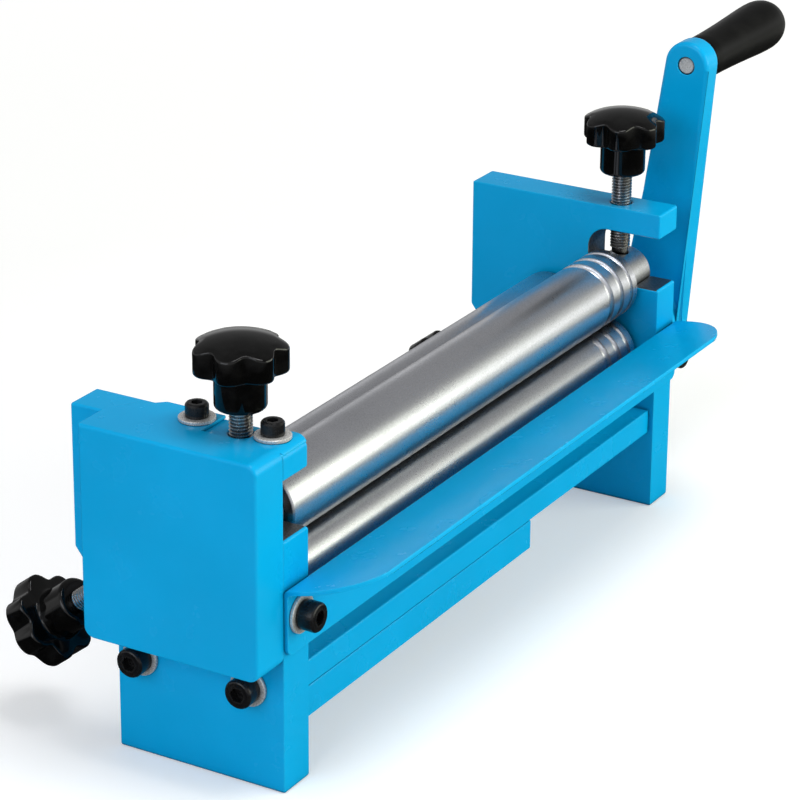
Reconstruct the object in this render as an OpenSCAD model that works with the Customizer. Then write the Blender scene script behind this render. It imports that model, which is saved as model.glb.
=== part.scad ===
// Slip roll machine for sheet metal and wire: three steel rolls between two painted end plates.
// The two front rolls pinch the sheet and are geared together at the left end, inside a cover.
// The rear roll curls the sheet: two sloping screws move it towards or away from the front pair.
// Millimetres. X runs along the rolls, from the gear cover to the crank. Z is up, and the feed
// tray faces -Y. The sizes below count from the middle of the machine in X, from the front
// faces of the end plates in Y and from the bench in Z.

/* [Rolls] */
// Distance between the inner faces of the two end plates
bed_length = 322; // [240:1:420]
// Diameter of the three rolls
roll_d = 34; // [33:0.5:35]
// Free space between a roll's barrel and each end plate
roll_end_gap = 3.5; // [2:0.5:6]
// Chamfer on the ends of the barrels
roll_edge = 1; // [0.5:0.5:2]
// Diameter of the journals that turn in the bushes
journal_d = 18; // [16:0.5:20]
// Diameter of the shaft ends that carry the gears
gear_seat_d = 14; // [10:0.5:15]
// Diameter of the shaft end that carries the crank
crank_seat_d = 16; // [13:0.5:16]
// Gap between the two front rolls
roll_gap = 0.4; // [0.2:0.1:1]
// Gap between the rear roll and each front roll
rear_gap = 1.5; // [0.5:0.5:3]
// Widths of the wire grooves in the front rolls, outermost first
groove_widths = [3, 4, 5]; // [2:0.5:6]
// Distances from the right end of the barrel to the wire grooves
groove_places = [7, 17, 28]; // [5:1:60]

/* [End plates] */
// Thickness of each end plate
plate_t = 19; // [16:0.5:24]
// Depth of the end plates at the top
plate_depth = 104.1; // [98:0.1:112]
// Depth of the end plates at the foot
foot_depth = 83.1; // [81:0.1:90]
// Height at which the rear edge starts to slope inwards
chamfer_z = 88.3; // [84:0.1:92]
// Distance of the front rolls' axes behind the plates' front faces
roll_y = 26; // [24:0.5:28]
// Height of the lower roll's axis
lower_z = 81; // [79:0.5:83]
// Distance of the front post's top below the upper roll's axis
post_drop = 0.8; // [0.2:0.1:3]
// Height of the window over the front post, where the upper bush slides
window_h = 26.4; // [24:0.2:32]
// Thickness of the arm over the window
arm_t = 12.4; // [10:0.1:14]
// Radius of the window's upper rear corner
window_r = 10; // [4:0.5:10]

/* [Bushes and travel] */
// Outer diameter of the bushes
bush_d = 25; // [23:0.5:26]
// Depth of the pocket that takes a screw's tip
seat_depth = 2; // [1:0.1:2.2]
// How far the upper roll lifts while its gear stays in mesh
lift_travel = 3; // [1:0.5:3]
// How far the rear roll moves back from the place drawn
shift_travel = 16; // [8:0.5:17]
// Slope of the rear roll's travel below the horizontal
slope_angle = 38; // [34:1:41]
// Room left in the slot in front of the rear bush
slot_front_room = 2.7; // [1:0.1:3]
// Room left in the slot behind the rear bush at its end of travel
slot_back_room = 0.6; // [0.3:0.1:2]

/* [Thumb screws] */
// Diameter of the thumb screws
screw_d = 10; // [8:0.5:10]
// Diameter of a thumb screw's plain tip
tip_d = 8; // [6:0.5:8]
// Length of a thumb screw's plain tip
tip_l = 4; // [3:0.5:6]
// Distance from the plate's top to the left upright knob
lift_knob_gap = 11.4; // [11:0.1:25]
// How much higher the right upright knob stands than the left one
right_knob_more = 4.1; // [0:0.1:6]
// Distance from the plate's sloping edge to a rear knob
rear_knob_gap = 22.3; // [10:0.1:30]
// Diameter of a knob over its lobes
knob_d = 40; // [36:1:44]
// Number of lobes on a knob
knob_lobes = 7; // [5:1:9]
// Diameter of a knob's lobes
lobe_d = 11.2; // [9:0.2:12]
// Depth of the valleys between a knob's lobes
valley_depth = 3.5; // [1:0.5:4]
// Diameter of a knob's hub
hub_d = 22; // [18:0.5:24]
// Height of a knob's hub
hub_h = 16; // [12:0.5:20]
// Height of a knob's lobed rim
rim_h = 11; // [9:0.5:15]
// Height of the dome on a knob
dome_h = 5; // [2:0.5:6]
// Length of screw held in a knob
knob_grip = 20; // [14:0.5:22]

/* [Gears] */
// Teeth on each gear
gear_teeth = 17; // [15:1:22]
// Pressure angle of the teeth
pressure_angle = 20; // [18:1:22]
// Width of the gears
gear_w = 12; // [8:0.5:12]
// Distance from the plate to a gear
gear_gap = 1.5; // [1:0.1:2]
// Height and width of a gear's key
key_size = 4; // [3:0.5:4]
// Diameter of the screw that holds a gear on its shaft
gear_screw_d = 5; // [4:1:6]
// Thickness of a gear's washer
gear_washer_t = 1.2; // [0.8:0.1:1.5]
// Height of the low head of a gear's screw
gear_screw_head_h = 2.4; // [1.5:0.1:2.5]

/* [Gear cover] */
// How far the cover stands out from the plate
cover_w = 19.9; // [19.3:0.1:30]
// Depth of the cover from the plates' front faces
cover_depth = 86.2; // [82:0.1:92]
// Height of the cover's lower edge
cover_low = 59; // [56:0.1:60.5]
// Thickness of the cover's walls
cover_wall = 1.5; // [1.2:0.1:2]
// Thickness of the flange that lies on the plate's top
flange_t = 1.5; // [1.2:0.1:3]
// Radius of the cover's lower corners
cover_corner = 5; // [4:0.5:10]
// Radius of the cover's upper front edge
cover_round = 5; // [4.5:0.5:6]
// Width left at the back of the flange before its corner is cut off
flange_back_w = 2; // [1:0.5:8]
// Length of the flange's cut corner along Y
flange_cut_l = 18; // [12:1:24]
// Width of the notch in the flange round the left lift screw
notch_w = 21; // [18:0.5:22]
// Distance from the plate's inner face to the end of the notch
notch_l = 18.5; // [15.5:0.5:19]
// Distance of the notch's middle behind the lift screw
notch_shift = 3; // [0:0.5:4]
// Diameter of the cover's screws
cover_screw_d = 6; // [5:1:6]
// Diameter of the cover's washers
cover_washer_d = 15.6; // [12:0.1:16]

/* [Bed] */
// Distance of the bed bar behind the plates' front faces
bed_front = 2.5; // [1:0.1:5]
// Depth of the bed bar
bed_depth = 77.5; // [74:0.5:80]
// Thickness of the bed bar
bed_t = 12; // [10:0.5:16]
// Height of the bed bar's middle
bed_z = 45.5; // [40:0.5:46]
// Length of the block that a bench vise grips
block_l = 199.7; // [100:0.1:220]
// Depth of the block that a bench vise grips
block_depth = 40; // [25:1:60]
// Height of the block that a bench vise grips
block_h = 14.5; // [10:0.5:20]
// Diameter of the screws that hold the plates to the bed bar
frame_screw_d = 8; // [6:1:8]
// Length of a frame screw in the bed bar
frame_screw_grip = 14; // [10:1:25]
// Distances of the frame screws behind the plates' front faces
frame_screw_places = [17, 71]; // [12:1:72]

/* [Feed tray] */
// Thickness of the tray's sheet
tray_t = 2; // [1.5:0.1:3]
// Height of the tray flange's lower edge
tray_low = 63.5; // [60:0.5:66]
// Height at which the tray bends forward
tray_top = 93; // [90:0.5:96]
// Depth of the tray's shelf
shelf_depth = 35; // [25:1:60]
// Angle by which the shelf rises towards its front edge
shelf_rise = 11.5; // [0:0.5:20]
// Radius of the shelf's front corners
tray_corner = 30; // [10:1:30]
// Radius of the flange's lower corners
tray_flange_corner = 4; // [2:0.5:6]
// Height of the tray's screws
tray_screw_z = 80; // [77:0.5:82]

/* [Crank] */
// Distance from the lower roll's axis to the grip's axis
crank_radius = 135.5; // [100:0.5:180]
// Direction of the crank as drawn, counted from +Y towards +Z
crank_angle = 96.3; // [60:0.1:120]
// Diameter of the crank's boss and hub
boss_d = 32; // [28:1:36]
// Length of the boss between the plate and the arm
boss_l = 26.8; // [22:0.1:40]
// Thickness of the crank's arm
crank_arm_t = 13.2; // [10:0.2:16]
// Diameter of the arm's end at the grip
arm_end_d = 23.5; // [18:0.5:28]
// Depth of the recess round the shaft's end
shaft_recess = 2; // [1:0.5:3]
// Diameter of the screw that clamps the crank to the shaft
set_screw_d = 6; // [5:1:6]
// Length of the grip
grip_l = 83; // [60:1:110]
// Largest diameter of the grip
grip_d = 26; // [24:0.5:32]
// Diameter of the grip next to the arm
grip_neck_d = 22; // [20:0.5:24]
// Diameter of the bolt that the grip turns on
grip_bolt_d = 9; // [8:0.5:10]
// Diameter of the bolt's slotted head
bolt_head_d = 14; // [12:0.5:15]
// Height of the bolt's slotted head
bolt_head_h = 3.5; // [2:0.5:5]
// Depth of the recess in the grip's end
grip_recess = 5.5; // [4:0.5:10]

/* [Fits] */
// Radial clearance of what turns or slides
running_fit = 0.05; // [0.02:0.01:0.1]
// Radial clearance of what is fixed in a hole
fixed_fit = 0.02; // [0.01:0.01:0.05]
// Clearance between faces that pass or stop each other
face_gap = 0.3; // [0.1:0.05:0.5]
// Radial clearance of a screw's shank in a plain hole
shank_clearance = 0.25; // [0.1:0.05:0.5]

/* [Hidden] */
$fn = 72;
// Overrun of every cut past the solid that it cuts
cut = 1;
// Chamfer on the ends of the screws
screw_end = 0.8;
// Thickness of the washers under the socket screws
washer_t = 1.6;
// Thickness left at the tip of the cover's flange, behind its rounded front edge
flange_lip = 0.6;
// Share of the module by which a tooth stands above and below the pitch circle
addendum_share = 0.8;
dedendum_share = 0.9;
// Points along each flank of a tooth
flank_steps = 5;
// Diameter of the washers under the frame and tray screws
frame_washer_d = 17;
// Depth of a screw in a blind hole of an end plate
plate_screw_grip = 9;
// A socket head's diameter: this share of the screw's diameter, and a fixed length more
head_share = 1.5;
head_more = 1;
// Width and depth of a hexagon socket, as shares of the screw's diameter
socket_w_share = 0.75;
socket_h_share = 0.5;
// Hexagon socket in the shaft's end: width over its corners, and depth
shaft_socket_d = 8;
shaft_socket_l = 5.3;
// Length of the flat that the set screw stands on
flat_l = 13.4;
// Width of the slot in the bolt's head
bolt_slot_w = 2;
// Radius of the grip's rounded ends, the steps in it, and where the grip reaches full width
grip_edge = 3;
grip_steps = 4;
grip_full_share = 0.8;

// Faces along X
inner_x = bed_length / 2;
outer_x = inner_x + plate_t;
mid_x = inner_x + plate_t / 2;
barrel_x = inner_x - roll_end_gap;
bush_x = barrel_x + face_gap;
gear_x = outer_x + gear_gap;
gear_end_x = gear_x + gear_w;
cover_x = outer_x + cover_w;
boss_x = outer_x + face_gap;
arm_x = boss_x + boss_l - face_gap;
arm_out_x = arm_x + crank_arm_t;
grip_x = arm_out_x + face_gap;
grip_end_x = grip_x + grip_l;

// Axes in Y and Z
upper_z = lower_z + roll_d + roll_gap;
rear_z = (lower_z + upper_z) / 2;
rear_y = roll_y + sqrt(pow(roll_d + rear_gap, 2) - pow((upper_z - lower_z) / 2, 2));

// End plate
post_z = upper_z - post_drop;
arm_z = post_z + window_h;
plate_h = arm_z + arm_t;
bush_r = bush_d / 2;
bore_r = bush_r + running_fit;
window_back = roll_y + bore_r;
chamfer_low_z = chamfer_z - (plate_depth - foot_depth) / tan(slope_angle);
// Distance from the rear bush to the plate's sloping edge, along the slope
chamfer_l = (plate_depth - rear_y) * cos(slope_angle) + (rear_z - chamfer_z) * sin(slope_angle);

// Thumb screws
lift_seat_z = upper_z + bush_r - seat_depth;
rear_knob_l = chamfer_l + rear_knob_gap;
rear_seat_l = bush_r - seat_depth;
knob_h = hub_h + rim_h + dome_h;
dome_r = (pow(knob_d / 2, 2) + pow(dome_h, 2)) / (2 * dome_h);

// Height of an upright knob's hub
function lift_knob_z(side) = plate_h + lift_knob_gap + (side > 0 ? right_knob_more : 0);

// Gears: the pitch circle equals the rolls' diameter, so the surfaces run at one speed
gear_module = roll_d / gear_teeth;
pitch_r = roll_d / 2;
base_r = pitch_r * cos(pressure_angle);
tip_r = pitch_r + addendum_share * gear_module;
root_r = pitch_r - dedendum_share * gear_module;
gear_washer_d = gear_seat_d + key_size;
shaft_end_x = gear_end_x - face_gap;

// Gear cover
cover_top = plate_h + flange_t;
cavity_back = cover_depth - cover_wall;
plate_round = cover_round - flange_t;
notch_front = roll_y + notch_shift - notch_w / 2;
cover_screw_front = notch_front - cover_washer_d / 2;
cover_screw_back = notch_front + notch_w + cover_washer_d / 2;

// Feed tray
tray_front = -shelf_depth * cos(shelf_rise) - tray_t * sin(shelf_rise);
tray_screw_d = frame_screw_d;

// Outermost points, and from them the origin: the middle of the machine's footprint
rear_knob_back = rear_y + (rear_knob_l + hub_h + rim_h) * cos(slope_angle)
    + knob_d / 2 * sin(slope_angle);
centre_x = (grip_end_x - cover_x) / 2;
centre_y = (rear_knob_back + tray_front) / 2;

// Moves the machine so that the middle of its footprint is the origin
module placed() {
    translate([-centre_x, -centre_y, 0]) children();
}

// Draws a right-hand piece, or its mirror image at the left end
module at_side(side) {
    if (side < 0) {
        mirror([1, 0, 0]) children();
    } else {
        children();
    }
}

// Extrudes an outline given in Y and Z from x0 to x1
module along_x(x0, x1) {
    translate([x0, 0, 0])
        rotate([90, 0, 90])
            linear_extrude(x1 - x0)
                children();
}

// A round bar or bore along X, from x0 to x1, on the axis at y and z
module rod_x(x0, x1, r, y, z) {
    translate([x0, y, z])
        rotate([0, 90, 0])
            cylinder(r = r, h = x1 - x0);
}

// Places children on the line of the rear bush's travel: their +Z points down the slope
module on_slope() {
    translate([0, rear_y, rear_z])
        rotate([-slope_angle - 90, 0, 0])
            children();
}

// Points along an arc
function arc(centre, r, from, to, steps) =
    [for (i = [0:steps]) let (a = from + (to - from) * i / steps)
        centre + r * [cos(a), sin(a)]];

// End plates

// Outline of an end plate in Y and Z
module plate_outline() {
    polygon([
        [0, 0],
        [foot_depth, 0],
        [foot_depth, chamfer_low_z],
        [plate_depth, chamfer_z],
        [plate_depth, plate_h],
        [0, plate_h]
    ]);
}

// The window that opens to the front and holds the upper bush
module window_cut() {
    corner_y = window_back - window_r;
    corner_z = arm_z - window_r;
    translate([inner_x - cut, -cut, post_z])
        cube([plate_t + 2 * cut, corner_y + cut, arm_z - post_z]);
    translate([inner_x - cut, roll_y - bore_r, upper_z])
        cube([plate_t + 2 * cut, 2 * bore_r, corner_z - upper_z]);
    rod_x(inner_x - cut, outer_x + cut, window_r, corner_y, corner_z);
    rod_x(inner_x - cut, outer_x + cut, bore_r, roll_y, upper_z);
}

// The sloping slot that the rear bush slides in
module slot_cut() {
    front = -slot_front_room;
    back = shift_travel + slot_back_room;
    on_slope() {
        for (l = [front, back]) {
            translate([inner_x - cut, 0, l])
                rotate([0, 90, 0])
                    cylinder(r = bore_r, h = plate_t + 2 * cut);
        }
        translate([inner_x - cut, -bore_r, front])
            cube([plate_t + 2 * cut, 2 * bore_r, back - front]);
    }
}

module end_plate(side) {
    hole_r = screw_d / 2 + running_fit;
    difference() {
        along_x(inner_x, outer_x) plate_outline();
        window_cut();
        slot_cut();
        rod_x(inner_x - cut, outer_x + cut, bush_r + fixed_fit, roll_y, lower_z);
        // Tapped hole of the lift screw
        translate([mid_x, roll_y, arm_z - cut])
            cylinder(r = hole_r, h = arm_t + 2 * cut);
        // Tapped hole of the rear screw
        on_slope()
            translate([mid_x, 0, shift_travel])
                cylinder(r = hole_r, h = chamfer_l - shift_travel + cut);
        // Holes of the frame screws
        for (y = frame_screw_places) {
            rod_x(inner_x - cut, outer_x + cut, frame_screw_d / 2 + shank_clearance, y, bed_z);
        }
        // Blind hole of the tray's screw
        translate([mid_x, plate_screw_grip + face_gap, tray_screw_z])
            rotate([90, 0, 0])
                cylinder(r = tray_screw_d / 2 + fixed_fit, h = plate_screw_grip + face_gap + cut);
        if (side < 0) {
            cover_fixings_cut();
        }
    }
}

// What the left plate has for the cover: a rounded upper front edge and two blind holes
module cover_fixings_cut() {
    difference() {
        translate([inner_x - cut, -cut, plate_h - plate_round])
            cube([plate_t + 2 * cut, plate_round + cut, plate_round + cut]);
        rod_x(inner_x - 2 * cut, outer_x + 2 * cut, plate_round, plate_round, plate_h - plate_round);
    }
    for (y = [cover_screw_front, cover_screw_back]) {
        translate([mid_x, y, plate_h - plate_screw_grip - face_gap])
            cylinder(r = cover_screw_d / 2 + fixed_fit, h = plate_screw_grip + face_gap + cut);
    }
}

module left_end_plate() {
    color("deepskyblue") placed() at_side(-1) end_plate(-1);
}

module right_end_plate() {
    color("deepskyblue") placed() at_side(1) end_plate(1);
}

// Bed

// Flat bar that joins the two end plates, with a blind hole for each frame screw
module bed_bar() {
    hole_l = frame_screw_grip + face_gap;
    color("deepskyblue") placed() difference() {
        translate([-inner_x, bed_front, bed_z - bed_t / 2])
            cube([bed_length, bed_depth, bed_t]);
        for (y = frame_screw_places) {
            rod_x(-inner_x - cut, hole_l - inner_x, frame_screw_d / 2 + fixed_fit, y, bed_z);
            rod_x(inner_x - hole_l, inner_x + cut, frame_screw_d / 2 + fixed_fit, y, bed_z);
        }
    }
}

// Block under the bed bar that a bench vise grips
module vise_block() {
    color("deepskyblue") placed()
        translate([-inner_x, bed_front, bed_z - bed_t / 2 - block_h])
            cube([block_l, block_depth, block_h]);
}

// Feed tray

// The tray's section in Y and Z: a flange on the plates' front faces and a rising shelf
module tray_section() {
    under_l = tray_t * (1 - sin(shelf_rise)) / cos(shelf_rise);
    front = [-shelf_depth * cos(shelf_rise), tray_top + shelf_depth * sin(shelf_rise)];
    polygon([
        [0, tray_low],
        [0, tray_top],
        front,
        front - tray_t * [sin(shelf_rise), cos(shelf_rise)],
        [-tray_t, tray_top - tray_t * cos(shelf_rise) + under_l * sin(shelf_rise)],
        [-tray_t, tray_low]
    ]);
}

// The tray's outline from above, with the shelf's two round front corners
module tray_plan() {
    round_y = tray_front + tray_corner;
    translate([-outer_x, round_y])
        square([2 * outer_x, cut - round_y]);
    translate([tray_corner - outer_x, tray_front - cut])
        square([2 * (outer_x - tray_corner), tray_corner + cut]);
    for (side = [-1, 1]) {
        translate([side * (outer_x - tray_corner), round_y])
            circle(r = tray_corner);
    }
}

// One lower corner of the flange, for cutting off round
module tray_flange_corner_cut() {
    r = tray_flange_corner;
    difference() {
        translate([outer_x - r, -tray_t - cut, tray_low - cut])
            cube([r + cut, tray_t + 2 * cut, r + cut]);
        translate([outer_x - r, cut, tray_low + r])
            rotate([90, 0, 0])
                cylinder(r = r, h = tray_t + 3 * cut);
    }
}

module feed_tray() {
    height = tray_top + shelf_depth;
    color("deepskyblue") placed() difference() {
        intersection() {
            along_x(-outer_x, outer_x) tray_section();
            linear_extrude(height) tray_plan();
        }
        for (side = [-1, 1]) {
            at_side(side) tray_flange_corner_cut();
            translate([side * mid_x, cut, tray_screw_z])
                rotate([90, 0, 0])
                    cylinder(r = tray_screw_d / 2 + shank_clearance, h = tray_t + 2 * cut);
        }
    }
}

// Gear cover

// Outline in Y and Z: round lower corners and a round upper front edge, drawn in by a wall
module cover_outline(wall, top) {
    corner = cover_corner - wall;
    round_r = cover_round - wall;
    front = wall;
    back = cover_depth - wall;
    low = cover_low + wall;
    translate([front + corner, low])
        square([back - front - 2 * corner, top - low]);
    translate([back - corner, low + corner])
        square([corner, top - low - corner]);
    translate([front, low + corner])
        square([corner, top - low - corner - round_r]);
    translate([front + round_r, top - round_r])
        square([corner, round_r]);
    translate([front + corner, low + corner])
        circle(r = corner);
    translate([back - corner, low + corner])
        circle(r = corner);
    translate([front + round_r, top - round_r])
        circle(r = round_r);
}

// The flange that lies on the plate's top and follows its round front edge
module cover_flange() {
    lip_z = plate_h - plate_round;
    difference() {
        intersection() {
            along_x(inner_x, outer_x + cover_wall) cover_outline(0, cover_top);
            translate([inner_x, flange_lip, lip_z])
                cube([plate_t + cover_wall, cover_depth, cover_top - lip_z]);
        }
        translate([inner_x - cut, plate_round, lip_z - cut])
            cube([plate_t + 2 * cover_wall + cut, cover_depth, plate_round + cut]);
        rod_x(inner_x - cut, outer_x + 2 * cover_wall, plate_round, plate_round, lip_z);
        // Cut rear corner
        translate([0, 0, plate_h - cut])
            linear_extrude(flange_t + 2 * cut)
                polygon([
                    [inner_x - cut, cover_depth - flange_cut_l],
                    [inner_x, cover_depth - flange_cut_l],
                    [outer_x - flange_back_w, cover_depth],
                    [outer_x - flange_back_w, cover_depth + cut],
                    [inner_x - cut, cover_depth + cut]
                ]);
        // Notch round the lift screw
        translate([inner_x - cut, notch_front, plate_h - cut])
            cube([notch_l + cut, notch_w, flange_t + 2 * cut]);
        for (y = [cover_screw_front, cover_screw_back]) {
            translate([mid_x, y, plate_h - cut])
                cylinder(r = cover_screw_d / 2 + shank_clearance, h = flange_t + 2 * cut);
        }
    }
}

module gear_cover() {
    color("deepskyblue") placed() at_side(-1) union() {
        difference() {
            along_x(outer_x, cover_x) cover_outline(0, cover_top);
            along_x(outer_x - cut, cover_x - cover_wall) cover_outline(cover_wall, plate_h);
        }
        cover_flange();
    }
}

// Bushes

// Plain bush of one end, drawn on the axis at y and z
module bush(y, z) {
    difference() {
        rod_x(bush_x, outer_x, bush_r, y, z);
        rod_x(bush_x - cut, outer_x + cut, journal_d / 2 + running_fit, y, z);
    }
}

// Pocket that a screw's tip stands in, from its seat at height z
module seat_cut(z) {
    translate([mid_x, 0, z])
        cylinder(r = tip_d / 2 + face_gap, h = seat_depth + cut);
}

module lower_bush(side) {
    color("dimgray") placed() at_side(side) bush(roll_y, lower_z);
}

module upper_bush(side) {
    color("dimgray") placed() at_side(side) difference() {
        bush(roll_y, upper_z);
        translate([0, roll_y, 0]) seat_cut(lift_seat_z);
    }
}

module rear_bush(side) {
    color("dimgray") placed() at_side(side) difference() {
        bush(rear_y, rear_z);
        on_slope() seat_cut(rear_seat_l);
    }
}

module left_lower_bush() lower_bush(-1);
module right_lower_bush() lower_bush(1);
module left_upper_bush() upper_bush(-1);
module right_upper_bush() upper_bush(1);
module left_rear_bush() rear_bush(-1);
module right_rear_bush() rear_bush(1);

// Rolls

// Turned body along X: barrel, journals to x_left and x_right, on the axis at y and z
module roll_body(y, z, x_left, x_right) {
    r = roll_d / 2;
    translate([0, y, z])
        rotate([0, 90, 0])
            rotate_extrude()
                polygon([
                    [0, x_left],
                    [journal_d / 2, x_left],
                    [journal_d / 2, -barrel_x],
                    [r - roll_edge, -barrel_x],
                    [r, roll_edge - barrel_x],
                    [r, barrel_x - roll_edge],
                    [r - roll_edge, barrel_x],
                    [journal_d / 2, barrel_x],
                    [journal_d / 2, x_right],
                    [0, x_right]
                ]);
}

// Half-round wire grooves near the right end of a front roll
module groove_cuts(z) {
    for (i = [0:len(groove_widths) - 1]) {
        translate([barrel_x - groove_places[i], roll_y, z])
            rotate([0, 90, 0])
                rotate_extrude()
                    translate([roll_d / 2, 0])
                        circle(r = groove_widths[i] / 2);
    }
}

// Seat for a gear on the left end of a shaft, with its keyway and its tapped hole
module gear_seat(z) {
    difference() {
        rod_x(-shaft_end_x, -gear_x, gear_seat_d / 2, roll_y, z);
        key(z, fixed_fit);
        rod_x(-shaft_end_x - cut, -gear_x, gear_screw_d / 2 + fixed_fit, roll_y, z);
    }
}

module lower_roll() {
    end_x = arm_out_x - shaft_recess;
    flat_r = crank_seat_d / 2 - shaft_recess / 2;
    color("silver") placed() union() {
        difference() {
            roll_body(roll_y, lower_z, -gear_x, boss_x);
            groove_cuts(lower_z);
        }
        gear_seat(lower_z);
        difference() {
            rod_x(boss_x, end_x, crank_seat_d / 2, roll_y, lower_z);
            // Flat under the set screw
            on_set_screw(flat_r)
                translate([-flat_l / 2, -crank_seat_d / 2, 0])
                    cube([flat_l, crank_seat_d, shaft_recess]);
            // Hexagon socket in the shaft's end
            translate([end_x - shaft_socket_l, roll_y, lower_z])
                rotate([0, 90, 0])
                    cylinder(d = shaft_socket_d, h = shaft_socket_l + cut, $fn = 6);
        }
    }
}

module upper_roll() {
    color("silver") placed() union() {
        difference() {
            roll_body(roll_y, upper_z, -gear_x, outer_x);
            groove_cuts(upper_z);
        }
        gear_seat(upper_z);
    }
}

module rear_roll() {
    color("silver") placed() roll_body(rear_y, rear_z, -outer_x, outer_x);
}

// Gears

// Roll angle at which the involute of the base circle reaches radius r
function involute_angle(r) = sqrt(pow(r / base_r, 2) - 1) * 180 / PI;
// Direction of the involute there, counted from its start
function involute_turn(r) = involute_angle(r) - atan(involute_angle(r) * PI / 180);
// Half of the angle that a tooth takes at radius r
function half_tooth(r) = 90 / gear_teeth + involute_turn(pitch_r) - involute_turn(max(r, base_r));

// Outline of a gear whose first tooth lies along the direction start
module gear_outline(start) {
    radii = [for (i = [0:flank_steps]) root_r + (tip_r - root_r) * i / flank_steps];
    rising = [for (r = radii) [r, -half_tooth(r)]];
    falling = [for (i = [0:flank_steps]) [radii[flank_steps - i], half_tooth(radii[flank_steps - i])]];
    tooth = concat(rising, falling);
    polygon([for (i = [0:gear_teeth - 1], p = tooth)
        let (a = start + i * 360 / gear_teeth + p[1]) p[0] * [cos(a), sin(a)]]);
}

// Gear on the axis at height z, with its bore and keyway
module gear(z, start) {
    difference() {
        translate([0, roll_y, z])
            along_x(-gear_end_x, -gear_x) gear_outline(start);
        rod_x(-gear_end_x - cut, cut - gear_x, gear_seat_d / 2 + fixed_fit, roll_y, z);
        key(z, fixed_fit);
    }
}

// Key between a gear and its shaft, grown by a clearance where it is cut out
module key(z, grow) {
    translate([-shaft_end_x - grow, roll_y + gear_seat_d / 2 - key_size / 2 - grow, z - key_size / 2 - grow])
        cube([shaft_end_x - gear_x + 2 * grow, key_size + 2 * grow, key_size + 2 * grow]);
}

module gear_washer(z) {
    washer_x = gear_end_x + gear_washer_t;
    color("gray") placed() difference() {
        rod_x(-washer_x, -gear_end_x, gear_washer_d / 2, roll_y, z);
        rod_x(-washer_x - cut, cut - gear_end_x, gear_screw_d / 2 + shank_clearance, roll_y, z);
    }
}

// Low-headed screw that holds a gear on its shaft
module gear_screw(z) {
    head_x = gear_end_x + gear_washer_t;
    head_end_x = head_x + gear_screw_head_h;
    color("dimgray") placed() difference() {
        union() {
            rod_x(-head_end_x, -head_x, head_d(gear_screw_d) / 2, roll_y, z);
            rod_x(-head_x, -gear_x - face_gap, gear_screw_d / 2, roll_y, z);
        }
        translate([-head_end_x - cut, roll_y, z])
            rotate([0, 90, 0])
                cylinder(d = socket_d(gear_screw_d), h = gear_screw_head_h / 2 + cut, $fn = 6);
    }
}

module lower_gear() {
    color("slategray") placed() gear(lower_z, 90);
}

module upper_gear() {
    color("slategray") placed() gear(upper_z, 180 / gear_teeth - 90);
}

module lower_gear_key() {
    color("gray") placed() key(lower_z, 0);
}

module upper_gear_key() {
    color("gray") placed() key(upper_z, 0);
}

module lower_gear_washer() gear_washer(lower_z);
module upper_gear_washer() gear_washer(upper_z);
module lower_gear_screw() gear_screw(lower_z);
module upper_gear_screw() gear_screw(upper_z);

// Thumb screws and knobs

// Screw along +Z: a plain tip from its seat up to the thread, which ends inside the knob
module thumb_screw(seat_z, knob_z) {
    tip_z = seat_z + running_fit;
    thread_z = tip_z + tip_l;
    end_z = knob_z + knob_grip;
    rotate_extrude()
        polygon([
            [0, tip_z],
            [tip_d / 2 - screw_end, tip_z],
            [tip_d / 2, tip_z + screw_end],
            [tip_d / 2, thread_z],
            [screw_d / 2, thread_z + screw_end],
            [screw_d / 2, end_z - screw_end],
            [screw_d / 2 - screw_end, end_z],
            [0, end_z]
        ]);
}

// Outline of a knob's rim: a lobe points along the direction start
module knob_outline(start) {
    lobe_place = (knob_d - lobe_d) / 2;
    circle(r = knob_d / 2 - valley_depth);
    for (i = [0:knob_lobes - 1]) {
        rotate(start + i * 360 / knob_lobes)
            translate([lobe_place, 0])
                circle(d = lobe_d);
    }
}

// Star knob along +Z from its hub's lower face at z, with the hole that holds the screw
module star_knob(z, start) {
    difference() {
        translate([0, 0, z]) union() {
            cylinder(d1 = hub_d - 2 * screw_end, d2 = hub_d, h = screw_end);
            translate([0, 0, screw_end])
                cylinder(d = hub_d, h = hub_h - screw_end + rim_h / 2);
            intersection() {
                translate([0, 0, hub_h])
                    linear_extrude(rim_h + dome_h) knob_outline(start);
                translate([0, 0, knob_h - dome_r])
                    sphere(r = dome_r);
            }
        }
        translate([0, 0, z - cut])
            cylinder(r = screw_d / 2 + fixed_fit, h = knob_grip + face_gap + cut);
    }
}

module lift_screw(side) {
    color("silver") placed() at_side(side)
        translate([mid_x, roll_y, 0])
            thumb_screw(lift_seat_z, lift_knob_z(side));
}

module lift_knob(side) {
    color("black") placed() at_side(side)
        translate([mid_x, roll_y, 0])
            star_knob(lift_knob_z(side), -6);
}

module rear_screw(side) {
    color("silver") placed() at_side(side) on_slope()
        translate([mid_x, 0, 0])
            thumb_screw(rear_seat_l, rear_knob_l);
}

module rear_knob(side) {
    color("black") placed() at_side(side) on_slope()
        translate([mid_x, 0, 0])
            star_knob(rear_knob_l, -90);
}

module left_lift_screw() lift_screw(-1);
module right_lift_screw() lift_screw(1);
module left_lift_knob() lift_knob(-1);
module right_lift_knob() lift_knob(1);
module left_rear_screw() rear_screw(-1);
module right_rear_screw() rear_screw(1);
module left_rear_knob() rear_knob(-1);
module right_rear_knob() rear_knob(1);

// Crank

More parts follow.
